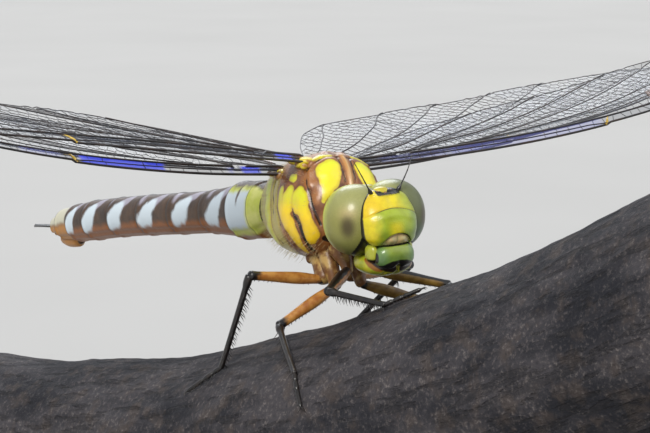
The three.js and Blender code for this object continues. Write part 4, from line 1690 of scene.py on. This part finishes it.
@dataclass
class Wing:
    """One wing: its outline, its pleats, its net of veins and its clear sheet."""

    name: str
    side: Side
    length: float
    forward: float
    lift: float
    sag: float
    pitch: Stops
    chord: Stops
    lead: Stops
    veins: Sequence[Vein]
    joint: float
    stigma: Point
    # Strips of painted blue sky reflection along the front edge.
    gleams: Stops = ((0.16, 0.44, 0.45),)
    row_width: float = 0.82
    narrow_strip: float = 0.8
    cell_lengths: Point = (0.86, 1.25)
    cross_veins: Point = (0.08, 2.2)
    cross_radius: float = 0.034
    finish: WingFinish = WingFinish()

    def __post_init__(self) -> None:
        """Works out the wing's root, directions and curves."""
        forward, lift, s = math.radians(self.forward), math.radians(self.lift), self.side.value
        plan = np.array([s * math.cos(forward), -math.sin(forward), 0.0])
        self.root = np.array(WING_ROOTS[self.name, self.side])
        self.span = plan * math.cos(lift) + Z_AXIS * math.sin(lift)
        self.rearward = np.array([s * math.sin(forward), math.cos(forward), 0.0])
        self.lines = [profile(vein.path) for vein in self.veins]
        self.chord_at, self.lead_at, self.pitch_at = map(profile, (self.chord, self.lead, self.pitch))

    def back_of(self, line: int, share: Any) -> Any:
        """Share of the chord at which a vein runs; each vein stays behind the last."""
        return np.clip(reduce(np.maximum, [at(share) for at in self.lines[: line + 1]]), 0, 1)

    def fold(self, share: np.ndarray, back: np.ndarray) -> np.ndarray:
        """Height of the pleats.

        Args:
            share: shares of the way from root to tip.
            back: shares of the chord behind the front edge.

        Returns:
            One height for each place.
        """
        places = np.clip(np.maximum.accumulate([line(share) for line in self.lines]), 0, 1)
        heights = [vein.pleat for vein in self.veins]
        height = np.zeros_like(share)
        for low, high, start, stop in zip(places, places[1:], heights, heights[1:]):
            open_strip = high > low + 1e-6
            t = (back - low) / np.where(open_strip, high - low, 1)
            height = np.where((back >= low) & (back <= high) & open_strip, start + t * (stop - start), height)
        return height * (1 - 0.6 * smooth(share, 0.3, 1.0))

    def at(self, share: Any, back: Any) -> np.ndarray:
        """Points of the wing in the body's frame.

        Args:
            share: shares of the way from root to tip.
            back: shares of the chord behind the front edge.

        Returns:
            One point for each place.
        """
        share, back = np.broadcast_arrays(np.asarray(share, float), np.asarray(back, float))
        pitch = np.radians(self.pitch_at(share))
        chord_line = np.cos(pitch)[:, None] * self.rearward + np.sin(pitch)[:, None] * Z_AXIS
        over = unit(np.cross(self.span, chord_line)) * self.side.value
        points = self.root + share[:, None] * self.length * self.span
        points = points + chord_line * self.plane(share, back)[:, 1:] + over * self.fold(share, back)[:, None]
        points[:, 2] -= self.sag * np.sin(share * math.pi)
        return points

    def plane(self, share: np.ndarray, back: np.ndarray) -> np.ndarray:
        """The same places on a flat pattern of the wing, in millimetres."""
        return np.column_stack([share * self.length, self.lead_at(share) + back * self.chord_at(share)])

    def seeds(self) -> tuple[np.ndarray, np.ndarray]:
        """Middles of the cells.

        Returns:
            The places, strip by strip, and each one's strip.
        """
        rng = np.random.default_rng(7)
        places, strips = [], []
        count = len(self.veins)
        for k in range(count - 1):
            share = 0.02
            while share < 0.995:
                low, high = float(self.back_of(k, share)), float(self.back_of(k + 1, share))
                width = (high - low) * float(self.chord_at(share))
                long_cells = width < self.narrow_strip and share < self.joint
                size = self.cell_lengths[long_cells] * (1 - 0.12 * low)
                rows = max(1, round(width / self.row_width)) if width > 0.12 else 0
                for row in range(rows):
                    back = low + (high - low) * (row + 0.5) / rows
                    shift = 0.5 * size * (row % 2) + 0.2 * k % size + rng.uniform(-0.1, 0.1) * size
                    places.append((share + shift / self.length, back + rng.uniform(-0.04, 0.04) / rows))
                    strips.append(k)
                share += size / self.length
        # Mirrored seeds outside the edges close the outer cells.
        for share, back in list(places):
            chord = float(self.chord_at(min(share, 1.0)))
            if back * chord < 1.1:
                places.append((share, -back))
                strips.append(-1)
            if (1 - back) * chord < 1.6:
                places.append((share, 2 - back))
                strips.append(count - 1)
        for back in np.linspace(-0.2, 1.2, 15):
            places += [(-0.005, back), (1.03, back * 2 - 0.3)]
            strips += [-5, count + 5]
        return np.array(places), np.array(strips)

    def settle(self, corner: tuple[float, float] | None, kinds: set[int]) -> tuple[float, float] | None:
        """Where a corner of the net lies, drawn onto the long vein that it borders.

        Args:
            corner: its place on the flat pattern, if it has one.
            kinds: the strips that it lies between.

        Returns:
            Its shares of the way to the tip and of the chord, or None outside the wing.
        """
        count = len(self.veins)
        share = corner[0] / self.length if corner else -1.0
        if not 0.0 < share < 1.0:
            return None
        back = (corner[1] - float(self.lead_at(share))) / float(self.chord_at(share))
        strips = sorted(k for k in kinds if -2 < k < count)
        if len(strips) > 1:
            back = float(self.back_of(min(max(strips[0] + 1, 0), count - 1), share))
        return (share, min(max(back, 0.0), 1.0)) if -0.02 <= back <= 1.02 else None

    def net(self) -> list[Line]:
        """The small cross veins: the borders between the cells of one strip.

        Returns:
            Each vein as a line with its radius.
        """
        places, strips = self.seeds()
        flat = self.plane(*places.T)
        points, _, faces, origins, _, _ = delaunay_2d_cdt([Vector(p) for p in flat], [], [], 0, 1e-4)
        strip_of = [strips[origin[0]] if origin else 0 for origin in origins]
        corners, edges = [], {}
        for index, face in enumerate(faces):
            centre = circle_centre(*(points[i] for i in face))
            corners.append(self.settle(centre, {strip_of[i] for i in face}))
            for i, j in zip(face, face[1:] + face[:1]):
                edges.setdefault((min(i, j), max(i, j)), []).append(corners[index])
        starts, stops = [], []
        for (i, j), ends in edges.items():
            same_strip = strip_of[i] == strip_of[j] and 0 <= strip_of[i] < len(self.veins) - 1
            if len(ends) == 2 and same_strip and None not in ends:
                starts.append(ends[0])
                stops.append(ends[1])
        starts, stops = np.array(starts), np.array(stops)
        run = np.linalg.norm(self.plane(*starts.T) - self.plane(*stops.T), axis=1)
        kept = (run > self.cross_veins[0]) & (run < self.cross_veins[1])
        starts, stops = starts[kept], stops[kept]
        radii = self.cross_radius - 0.008 * starts.sum(axis=1) / 2
        return list(zip(np.stack([self.at(*starts.T), self.at(*stops.T)], axis=1), radii))

    def long_veins(self) -> list[Line]:
        """The long veins, thickest at their roots.

        Returns:
            Each vein as a line with its radii.
        """
        lines = []
        shares = np.linspace(0.0, 0.995, 120)
        last = len(self.veins) - 1
        for k, vein in enumerate(self.veins):
            back = self.back_of(k, shares)
            before = self.back_of(k - 1, shares) if k else back - 1
            alone = (back > before + 0.004) & ((back < 0.995) | (k == last)) | (k in (0, last))
            where = np.flatnonzero(alone)
            if len(where) < 3:
                continue
            run = np.arange(max(where[0] - 1, 0), min(where[-1] + 2, len(shares)))
            share = shares[run]
            lines.append((self.at(share, back[run]), vein.root + (vein.tip - vein.root) * share**0.7))
        turn = np.linspace(0, math.pi, 9)
        rounded = self.at(0.995 + 0.004 * np.sin(turn), (1 - np.cos(turn)) / 2)
        return [*lines, (rounded, 0.05)]

    def build(self) -> None:
        """Builds the net, the sheet, the coloured cell and the joint of one wing."""
        name = f"{self.name}_{self.side.word}"
        thick = strands(f"{name}_long_veins", self.long_veins(), self.finish.veins(), 6)
        fine = strands(f"{name}_net", self.net(), self.finish.veins())
        nodal = self.at(self.joint + np.array([-0.006, 0.0, 0.004, 0.012]), [0.0, 0.02, 0.06, 0.11])
        knot = strands(f"{name}_joint", [(nodal, (0.15, 0.13, 0.09, 0.05))], self.finish.joint(), 6)
        veins = together(f"{name}_veins", [thick, fine, knot])

        form, share, back = Form.sheet(220, 64)
        share = 0.998 * share
        form.points = self.at(share, back)
        strip = np.clip(back / np.maximum(self.back_of(2, share), 1e-3), 0, 3)
        form.carry(wing=np.column_stack([share, back, strip]))
        sheet = form.place(f"{name}_sheet", self.finish.membrane(self.gleams))

        form, along, back = Form.sheet(30, 6)
        share = self.stigma[0] + (self.stigma[1] - self.stigma[0]) * along + (back - 0.5) * 0.01
        form.points = self.at(share, self.back_of(2, share) * back) + 0.03 * Z_AXIS
        cell = form.place(f"{name}_cell", self.finish.stigma())
        thickness = cell.modifiers.new("thick", "SOLIDIFY")
        thickness.thickness = 0.09 * MM
        thickness.offset = 0.0
        for piece in (veins, sheet, cell):
            hand_over(piece, "wing", name)


def make_wings() -> list[Wing]:
    """The four wings with their long veins.

    Returns:
        The wings, the front pair first and the left one of each pair first.
    """
    fore = {
        "length": 48.0,
        "forward": 10.0,
        "pitch": ((0, 5), (0.5, 12), (1, 15)),
        "veins": [Vein(path, *gauge) for path, gauge in zip(FORE_PATHS, FORE_GAUGES)],
        "joint": 0.53,
        "stigma": (0.86, 0.925),
        "chord": (
            (0, 2.4), (0.06, 4.6), (0.13, 7), (0.25, 9.2), (0.45, 10.2), (0.65, 10.4), (0.8, 9.2), (0.9, 7),
            (0.96, 4.4), (1, 1),
        ),
        "lead": ((0, 0), (0.2, -0.5), (0.48, -0.6), (0.75, -0.2), (0.88, 0.6), (0.95, 1.7), (1, 3.6)),
    }
    hind = {
        "length": 46.5,
        "forward": -5.0,
        "pitch": ((0, 9), (0.5, 10), (1, 13)),
        "veins": [Vein(path, *gauge) for path, gauge in zip(HIND_PATHS, HIND_GAUGES)],
        "joint": 0.445,
        "stigma": (0.85, 0.915),
        "chord": (
            (0, 4.2), (0.05, 8.6), (0.11, 12), (0.2, 13.8), (0.35, 13.4), (0.55, 12.2), (0.75, 10),
            (0.88, 7.2), (0.95, 4.6), (1, 1),
        ),
        "lead": ((0, 0), (0.2, -0.7), (0.44, -0.6), (0.75, 0), (0.88, 0.9), (0.95, 2), (1, 3.8)),
    }
    # Where each wing's painted blue sky reflection lies.
    fore_left, fore_right = ((0.06, 0.2, 0.3), (0.2, 0.52, 0.42)), ((0.03, 0.075, 0.9),)
    hind_right = ((0.055, 0.1, 0.95), (0.115, 0.13, 0.6), (0.26, 0.435, 1.0), (0.47, 0.55, 0.5))
    return [
        Wing("forewing", Side.LEFT, lift=10.5, sag=1.6, gleams=fore_left, **fore),
        Wing("forewing", Side.RIGHT, lift=8.2, sag=-0.2, gleams=fore_right, **fore),
        Wing("hindwing", Side.LEFT, lift=7.0, sag=0.8, **hind),
        Wing("hindwing", Side.RIGHT, lift=11.3, sag=1.7, gleams=hind_right, **hind),
    ]


# --- abdomen


@dataclass
class Abdomen:
    """The ten rings, the egg-laying keel and the two tail leaves."""

    # The middle line: place along the body and height.
    path: Stops = ((7.4, -1.75), (24, -4.25), (41, -6.9), (58.3, -10.2), (64.3, -11.4))
    # Each ring: its length, and its half width and half height at its front and rear end.
    rings: Sequence[tuple[float, Point, Point]] = (
        (1.8, (1.95, 2.0), (2.4, 2.6)), (4.0, (2.45, 2.7), (2.5, 2.7)), (6.6, (2.4, 2.55), (2.0, 2.1)),
        (7.1, (2.0, 2.05), (2.0, 2.05)), (7.1, (2.0, 2.05), (2.0, 2.05)), (7.0, (2.0, 2.05), (2.0, 2.05)),
        (6.4, (2.0, 2.05), (2.05, 2.1)), (4.4, (2.05, 2.1), (2.0, 2.0)), (3.4, (1.95, 1.95), (1.8, 1.75)),
        (2.2, (1.65, 1.5), (1.35, 1.1)),
    )
    squareness: float = 2.2
    keel: Stops = ((0, 0.45), (0.15, 0.9), (0.5, 1), (0.85, 0.7), (1, 0.3))
    keel_from: float = 44.9
    keel_length: float = 5.1
    keel_under: float = 1.85
    leaf: Stops = ((0, 0.4), (0.12, 0.7), (0.5, 1), (0.8, 0.75), (1, 0.35))
    leaf_length: float = 4.3
    finish: AbdomenFinish = AbdomenFinish()

    def __post_init__(self) -> None:
        """Measures the middle line."""
        ys = np.linspace(self.path[0][0], self.path[-1][0], 400)
        self.line = np.column_stack([np.zeros_like(ys), ys, profile(self.path)(ys)])
        self.gone = np.concatenate([[0], np.cumsum(np.linalg.norm(np.diff(self.line, axis=0), axis=1))])

    def on_line(self, distance: np.ndarray) -> np.ndarray:
        """Points at distances along the middle line."""
        return np.column_stack([np.interp(distance, self.gone, row) for row in self.line.T])

    def at(self, distance: np.ndarray) -> tuple[np.ndarray, np.ndarray, np.ndarray]:
        """Centre, direction and upward direction at distances along the middle line."""
        centre = self.on_line(distance)
        tangent = unit(self.on_line(distance + 0.5) - centre)
        return centre, tangent, np.cross(X_AXIS, tangent)

    def build_rings(self) -> float:
        """Builds the rings.

        Returns:
            The distance at which the last one ends.
        """
        shells = {band: self.finish.make(band) for band in Band}
        start = 0.0
        for number, (length, front, rear) in enumerate(self.rings, 1):
            tube = Tube(72, 44, 0.09)
            along, turn = tube.along, np.abs(tube.angle)
            # The plates flare at their rear edge and fold in along the belly.
            flare = 1 + 0.035 * smooth(along, 0.86, 0.95) - 0.03 * smooth(along, 0.1, 0.0)
            fold = 0.16 * hill((turn - 2.35) / 0.12) + 0.1 * hill((turn - 2.75) / 0.12)
            crest = 0.03 * hill(turn / 0.1)
            reach = squared_ring(tube.across, tube.upward, self.squareness) * flare
            width, height = (reach * (a + (b - a) * along) for a, b in zip(front, rear))
            centre, tangent, up = self.at(start + 0.02 + along * (length - 0.04))
            tube.lay(
                centre,
                (X_AXIS, tube.across * tube.size * (width - fold * np.abs(tube.across))),
                (up, tube.upward * tube.size * (height - fold + crest)),
                (tangent, tube.bulge * 0.12),
            )
            tube.carry(ring=np.column_stack([along, turn, np.full_like(along, number)]))
            band = Band.WAIST if number < 3 else Band.MIDDLE if number < 9 else Band.TAIL
            hand_over(tube.place(f"ring_{number}", shells[band]), "abdomen", f"abdomen_{number}")
            start += length
        return start

    def build_keel(self) -> None:
        """The egg-laying keel under the ninth ring."""
        tube = Tube(40, 36, 0.12)
        along = tube.along
        thick = profile(self.keel)(along) * tube.size
        centre, tangent, up = self.at(self.keel_from + along * self.keel_length)
        tube.lay(
            centre,
            (X_AXIS, tube.across * 0.8 * thick),
            (up, tube.upward * 0.85 * thick - self.keel_under * (1 - 0.25 * along)),
            (tangent, tube.bulge * 0.2),
        )
        tube.carry(ring=np.column_stack([along, np.full_like(along, 2.0), np.full_like(along, 9.0)]))
        hand_over(tube.place("keel", self.finish.make(Band.TAIL)), "abdomen", "ovipositor")

    def build_leaves(self, end: float) -> None:
        """The two ridged tail leaves.

        Args:
            end: the distance at which they start.
        """
        dark = LegFinish().dark()
        for side in Side:
            tube = Tube(24, 40, 0.1)
            along = tube.along
            leaf = profile(self.leaf)(along) * tube.size
            ridge = 0.16 + 0.08 * np.cos(tube.angle * 3)
            centre, tangent, up = self.at(np.full_like(along, end))
            tube.lay(
                centre,
                (tangent, along * self.leaf_length + tube.bulge * 0.1),
                (X_AXIS, side.value * (0.75 + 0.5 * along) + tube.across * 0.6 * leaf),
                (up, along * 0.35 + 0.12 * np.abs(tube.across) * leaf + tube.upward * ridge * tube.size),
            )
            hand_over(tube.place(f"tail_leaf_{side.word}", dark), "dark", f"cercus_{side.word}")

    def build(self) -> None:
        """Builds the rings and the tail."""
        end = self.build_rings()
        self.build_keel()
        self.build_leaves(end)


# --- legs


@dataclass
class Limb:
    """One length of leg, laid over its solid."""

    node: str

    def __post_init__(self) -> None:
        """Finds the ends and the middle of the solid's long axis, starting at the body."""
        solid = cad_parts[self.node].data
        flat = np.empty(len(solid.vertices) * 3)
        solid.vertices.foreach_get("co", flat)
        points = np.unique((flat.reshape(-1, 3) / MM - THORAX_CENTRE).round(4), axis=0)
        middle = points.mean(axis=0)
        reach = (points - middle) @ np.linalg.svd(points - middle)[2][0]
        low, high = reach.min(), reach.max()
        ends = [points[np.abs(reach - end) < 0.3].mean(axis=0) for end in (low, high)]
        hips = np.array([0.0, -5.0, -4.5])
        self.start, self.end = sorted(ends, key=lambda point: np.linalg.norm(point - hips))
        centre = points[np.abs(reach - (low + high) / 2) < (high - low) * 0.2]
        self.middle = centre.mean(axis=0) if len(centre) else (self.start + self.end) / 2

    def line(self, shares: np.ndarray) -> np.ndarray:
        """Points along the limb."""
        bow = self.middle - (self.start + self.end) / 2
        return self.start + np.outer(shares, self.end - self.start) + np.outer(4 * shares * (1 - shares), bow)

    def frame(self, shares: np.ndarray) -> tuple[np.ndarray, np.ndarray, np.ndarray, np.ndarray]:
        """Centre and forward, sideward and upward directions at shares of the limb."""
        tangent = unit(self.line(shares + 0.01) - self.line(shares - 0.01))
        across = unit(np.cross(tangent, Z_AXIS))
        return self.line(shares), tangent, across, np.cross(across, tangent)

    def tube(self, stops: Stops, sides: int = 20, rings: int = 44) -> Tube:
        """A round limb.

        Args:
            stops: its radius along its length.
            sides: points round it.
            rings: rings from end to end.

        Returns:
            The form.
        """
        tube = Tube(sides, rings, 0.08)
        centre, tangent, across, over = self.frame(tube.along)
        radius = profile(stops)(tube.along)
        ring = radius * tube.size
        tube.carry(limb=np.column_stack([tube.along, np.abs(tube.angle), np.zeros_like(ring)]))
        ends = (tangent, tube.bulge * radius * 0.6)
        return tube.lay(centre, (across, tube.across * ring), (over, tube.upward * ring), ends)


@dataclass(frozen=True)
class Spines:
    """Rows of stiff spines along a limb, each row at an angle from the top in degrees."""

    rows: Point
    count: int
    length: float
    limb_radius: float
    spread: Point

    def lines(self, limb: Limb, seed: int) -> list[Line]:
        """The spines.

        Args:
            limb: the limb they stand on.
            seed: sets how uneven they are.

        Returns:
            The spines as lines with their radii.
        """
        lines = []
        rng = np.random.default_rng(seed + self.count)
        for row in self.rows:
            for share in np.linspace(*self.spread, self.count):
                share += rng.uniform(-0.01, 0.01)
                at, tangent, across, over = (vectors[0] for vectors in limb.frame(np.array([share])))
                turn = math.radians(row + rng.uniform(-8, 8))
                out = across * math.sin(turn) + over * math.cos(turn)
                foot = at + out * self.limb_radius * 0.8
                size = self.length * (1 - 0.35 * share) * rng.uniform(0.85, 1.1)
                tip = foot + out * size * 0.8 + tangent * size * 0.6
                middle = foot * 0.45 + tip * 0.55 + out * 0.03
                lines.append((np.array([foot, middle, tip]), (0.05, 0.034, 0.008)))
        return lines


@dataclass
class Leg:
    """One leg: hip, thigh, shin and foot with their spines and claws."""

    pair: str
    side: Side
    dark_top: bool
    hip: Stops = ((0, 0.85), (0.35, 0.8), (0.8, 0.6), (1, 0.5))
    thigh: Stops = ((0, 0.4), (0.1, 0.43), (0.35, 0.54), (0.8, 0.42), (0.93, 0.4), (1, 0.44))
    shin: Stops = ((0, 0.36), (0.06, 0.38), (0.14, 0.28), (0.6, 0.26), (0.95, 0.25), (1, 0.28))
    foot: Stops = (
        (0, 0.2), (0.16, 0.22), (0.21, 0.14), (0.27, 0.2), (0.44, 0.22), (0.5, 0.14), (0.56, 0.19),
        (0.95, 0.18), (1, 0.12),
    )
    thigh_spines: Spines = Spines((150, 210), 13, 0.34, 0.45, (0.2, 0.95))
    shin_spines: Spines = Spines((128, 232, 170), 15, 0.8, 0.26, (0.1, 0.97))
    foot_spines: Spines = Spines((130, 230), 9, 0.34, 0.2, (0.08, 0.9))
    finish: LegFinish = LegFinish()

    def name(self, part: str) -> str:
        """The name of one length of this leg."""
        return f"{self.pair}{part}_{self.side.word}"

    def finish_length(self, part: str, node: str, slot: str, *pieces: Object) -> None:
        """Joins the shell and the spines of one length of leg and hands it over."""
        hand_over(together(self.name(part), pieces), slot, self.name(node))

    def claws(self, limb: Limb) -> list[Line]:
        """The two claws at the end of the foot."""
        heading = unit(limb.line(np.array([1.0])) - limb.line(np.array([0.9])))[0]
        across = unit(np.cross(heading, Z_AXIS))
        below = np.cross(heading, across)
        below = below if below[2] < 0 else -below
        lines = []
        for turn in (-1, 1):
            bend = limb.end + heading * 0.3 + across * turn * 0.22
            tip = limb.end + heading * 0.5 + across * turn * 0.34 + below * 0.18
            lines.append((np.array([limb.end, bend, tip]), (0.08, 0.06, 0.012)))
        return lines

    def build(self) -> None:
        """Builds the leg."""
        coxa, femur, tibia, tarsus = (Limb(self.name(part)) for part in ("coxa", "femur", "tibia", "tarsus"))
        dark = self.finish.dark()
        seed = len(self.pair) * 7
        hip = coxa.tube(self.hip)
        hip.push(0.05 * wander(hip.points, 2.0))
        self.finish_length("hip", "coxa", "thorax", hip.place(self.name("hip"), ThoraxFinish().coxa()))

        # The left fore and mid thighs take the olive copy: painted shade.
        shell = self.finish.femur(self.dark_top, self.side is Side.LEFT and self.pair != "hind")
        thigh = femur.tube(self.thigh).place(self.name("thigh"), shell)
        spines = strands("spines", self.thigh_spines.lines(femur, seed), dark)
        self.finish_length("thigh", "femur", "femur", thigh, spines)

        shin = tibia.tube(self.shin).place(self.name("shin"), dark)
        spines = strands("spines", self.shin_spines.lines(tibia, seed), dark)
        self.finish_length("shin", "tibia", "dark", shin, spines)

        foot = tarsus.tube(self.foot, 18, 60).place(self.name("foot"), dark)
        spines = strands("spines", [*self.foot_spines.lines(tarsus, seed), *self.claws(tarsus)], dark)
        self.finish_length("foot", "tarsus", "dark", foot, spines)


# --- branch and stand


@dataclass
class Branch:
    """The cut length of branch."""

    under: Point = (-0.8, -15.1, -17.1)
    heading: float = 15.0
    slope: float = 0.36
    curve: float = 0.0026
    ends: Point = (-62.0, 37.0)
    # Each wave of the surface: its height, rate along, count round and phase.
    waves: Stops = ((0.17, 0.13, 0, 1.1), (0.12, 0.31, 2, 0), (0.16, 0.05, 3, 0), (0.1, -0.09, 5, 0))
    skin: float = 0.05
    finish: BarkFinish = BarkFinish()

    def frame(self, along: np.ndarray) -> tuple[np.ndarray, np.ndarray, np.ndarray, np.ndarray]:
        """Centre and forward, leftward and upward directions at places along the branch."""
        turn = math.radians(self.heading)
        plan = np.array([math.sin(turn), -math.cos(turn), 0.0])
        rise = self.slope * along + self.curve * along**2
        centre = self.under + np.outer(along, plan) + np.outer(rise, Z_AXIS)
        forward = unit(plan + np.outer(self.slope + 2 * self.curve * along, Z_AXIS))
        left = -unit(np.cross(forward, Z_AXIS))
        return centre, forward, left, -np.cross(left, forward)

    def build(self) -> None:
        """Builds the bark and the two cut ends."""
        tube = Tube(170, 270, 0.05)
        along = self.ends[0] + tube.along * (self.ends[1] - self.ends[0])
        centre, forward, left, up = self.frame(along)
        girth = self.finish.radius
        around = np.column_stack([along * 0.4, tube.across * girth, tube.upward * girth])
        rough = 0.1 * wander(around, 0.9) + 0.07 * wander(around, 2.3, 4.0) + 0.04 * wander(around, 5.1, 9.0)
        radius = girth - self.skin + np.where(tube.size < 0.999, 0.0, rough)
        for height, rate, count, phase in self.waves:
            radius += height * np.sin(rate * along + count * tube.angle + phase)
        ring = radius * tube.size
        tube.lay(
            centre,
            (left, tube.across * ring),
            (up, tube.upward * ring),
            (forward, 0.12 * tube.bulge * smooth(tube.size, 1.0, 0.93)),
        )
        cut = smooth(tube.size, 0.995, 0.975)
        tube.carry(bark=np.column_stack([along, np.abs(tube.angle), cut]), rings=ring)
        hand_over(tube.place("branch", self.finish.make()), "bark", "perch_branch")


@dataclass
class Stand:
    """The plain base and its two rods."""

    corner: float = 6.0
    edge: float = 0.7
    finish: StandFinish = StandFinish()

    def build_base(self) -> None:
        """The plate: round corners and softened edges."""
        low, high = (Vector(corner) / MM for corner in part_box("stand_base"))
        soft = {"profile": 0.5, "affect": "EDGES", "material": -1}
        work = bmesh.new()
        bmesh.ops.create_cube(work, size=1.0)
        bmesh.ops.scale(work, vec=high - low, verts=work.verts)
        upright = [e for e in work.edges if abs(e.verts[0].co.z - e.verts[1].co.z) > 1]
        bmesh.ops.bevel(work, geom=upright, offset=self.corner, segments=12, **soft)
        level = [e for e in work.edges if abs(e.verts[0].co.z - e.verts[1].co.z) < 1e-3]
        rims = [e for e in level if abs(e.calc_face_angle(0)) > 0.5]
        bmesh.ops.bevel(work, geom=rims, offset=self.edge, segments=4, **soft)
        bmesh.ops.translate(work, vec=(low + high) / 2, verts=work.verts)
        hand_over(Form(work).place("base_plate", self.finish.base(), np.zeros(3)), "base", "stand_base")

    def build_rods(self) -> None:
        """Two turned rods, each with a foot ring and a cup under the bark."""
        brass = self.finish.rod()
        for place in ("rear", "front"):
            low, high = (np.array(corner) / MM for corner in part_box(f"stand_rod_{place}"))
            x, y, foot = (low[0] + high[0]) / 2, (low[1] + high[1]) / 2, low[2]
            top = high[2] + 1.0
            outline = (
                (0.0, foot), (4.4, foot), (4.4, foot + 0.6), (3.6, foot + 1.1), (2.35, foot + 1.3),
                (2.2, foot + 1.8), (2.2, top - 1.4), (2.2, top), (0.0, top),
            )
            work = bmesh.new()
            corners = [work.verts.new((r, 0, z)) for r, z in outline]
            edges = [work.edges.new(pair) for pair in zip(corners, corners[1:])]
            turn = {"axis": (0, 0, 1), "angle": 2 * math.pi, "steps": 48, "use_merge": True}
            bmesh.ops.spin(work, geom=corners + edges, cent=(0, 0, 0), **turn)
            bmesh.ops.remove_doubles(work, verts=work.verts, dist=1e-4)
            bmesh.ops.translate(work, vec=(x, y, 0), verts=work.verts)
            bmesh.ops.recalc_face_normals(work, faces=work.faces)
            piece = Form(work).place(f"rod_{place}", brass, np.zeros(3))
            soft = piece.modifiers.new("edges", "BEVEL")
            soft.width = 0.12 * MM
            soft.segments = 2
            soft.limit_method = "ANGLE"
            hand_over(piece, "rod", f"stand_rod_{place}")

    def build(self) -> None:
        """Builds the base and the rods."""
        self.build_base()
        self.build_rods()


# --- studio


@dataclass
class Studio:
    """Pale floor, soft lights and the camera."""

    eye: Point = (-105.0, -189.5, 86.8)
    azimuth: float = -30.0
    elevation: float = 8.5
    lens: float = 134.9
    sky_grey: Point = (0.62, 0.64, 0.68, 1)
    # Each lamp: its name, direction, power, spread in degrees and colour.
    lamps: Sequence[tuple[str, Point, float, float, Point]] = (
        ("key", (-0.56, -0.54, 0.64), 2.7, 22, (1.0, 0.97, 0.91)),
        ("fill", (0.75, -0.45, 0.5), 0.5, 60, (0.9, 0.95, 1.0)),
        ("rim", (0.3, 0.75, 0.6), 1.0, 30, (0.9, 0.95, 1.0)),
    )

    def floor(self) -> None:
        """A wide pale floor."""
        work = bmesh.new()
        bmesh.ops.create_grid(work, x_segments=1, y_segments=1, size=12.0)
        mesh = bpy.data.meshes.new("floor")
        work.to_mesh(mesh)
        work.free()
        kit = Kit("floor_paint")
        kit.colour = kit.blend(kit.cloud(0.01, 2.0), "aeadab", "b8b7b5")
        mesh.materials.append(kit.surface(0.9))
        floor = bpy.data.objects.new("floor", mesh)
        bpy.context.collection.objects.link(floor)
        floor.location.z = -0.00002

    def lamp(self, name: str, toward: Point, power: float, spread: float, colour: Point) -> None:
        """A broad far light.

        Args:
            name: the light's name.
            toward: direction from the insect to the light.
            power: its strength.
            spread: how wide it looks, in degrees.
            colour: its colour.
        """
        data = bpy.data.lights.new(name, "SUN")
        data.energy, data.angle, data.color = power, math.radians(spread), colour
        light = bpy.data.objects.new(name, data)
        light.rotation_euler = Vector(toward).to_track_quat("Z", "Y").to_euler()
        bpy.context.collection.objects.link(light)

    def sky(self) -> None:
        """An even grey sky."""
        world = bpy.data.worlds.new("sky")
        world.use_nodes = True
        background = world.node_tree.nodes["Background"]
        background.inputs["Color"].default_value = self.sky_grey
        background.inputs["Strength"].default_value = 1.0
        bpy.context.scene.world = world
        bpy.context.scene.view_settings.view_transform = "Standard"

    def camera(self) -> None:
        """The camera, level and looking a little down."""
        data = bpy.data.cameras.new("camera")
        data.lens, data.sensor_width = self.lens, 36.0
        data.clip_start, data.clip_end = 0.005, 50.0
        camera = bpy.data.objects.new("camera", data)
        camera.location = np.array(self.eye) * MM
        camera.rotation_euler = (math.radians(90 - self.elevation), 0.0, math.radians(self.azimuth))
        bpy.context.collection.objects.link(camera)
        bpy.context.scene.camera = camera

    def build(self) -> None:
        """Builds the floor, lights, sky and camera."""
        self.floor()
        for lamp in self.lamps:
            self.lamp(*lamp)
        self.sky()
        self.camera()


def main() -> None:
    """Builds every piece in order and writes the sizes of the solids and of the finished model."""
    logging.basicConfig(level=logging.INFO, format="%(message)s")
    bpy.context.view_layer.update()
    Head().build()
    thorax = Thorax()
    thorax.build()
    Down().build(thorax)
    for wing in make_wings():
        wing.build()
    Abdomen().build()
    for pair, dark_top in (("fore", True), ("mid", False), ("hind", False)):
        for side in Side:
            Leg(pair, side, dark_top).build()
    Branch().build()
    Stand().build()
    Studio().build()


if __name__ == "__main__":
    main()
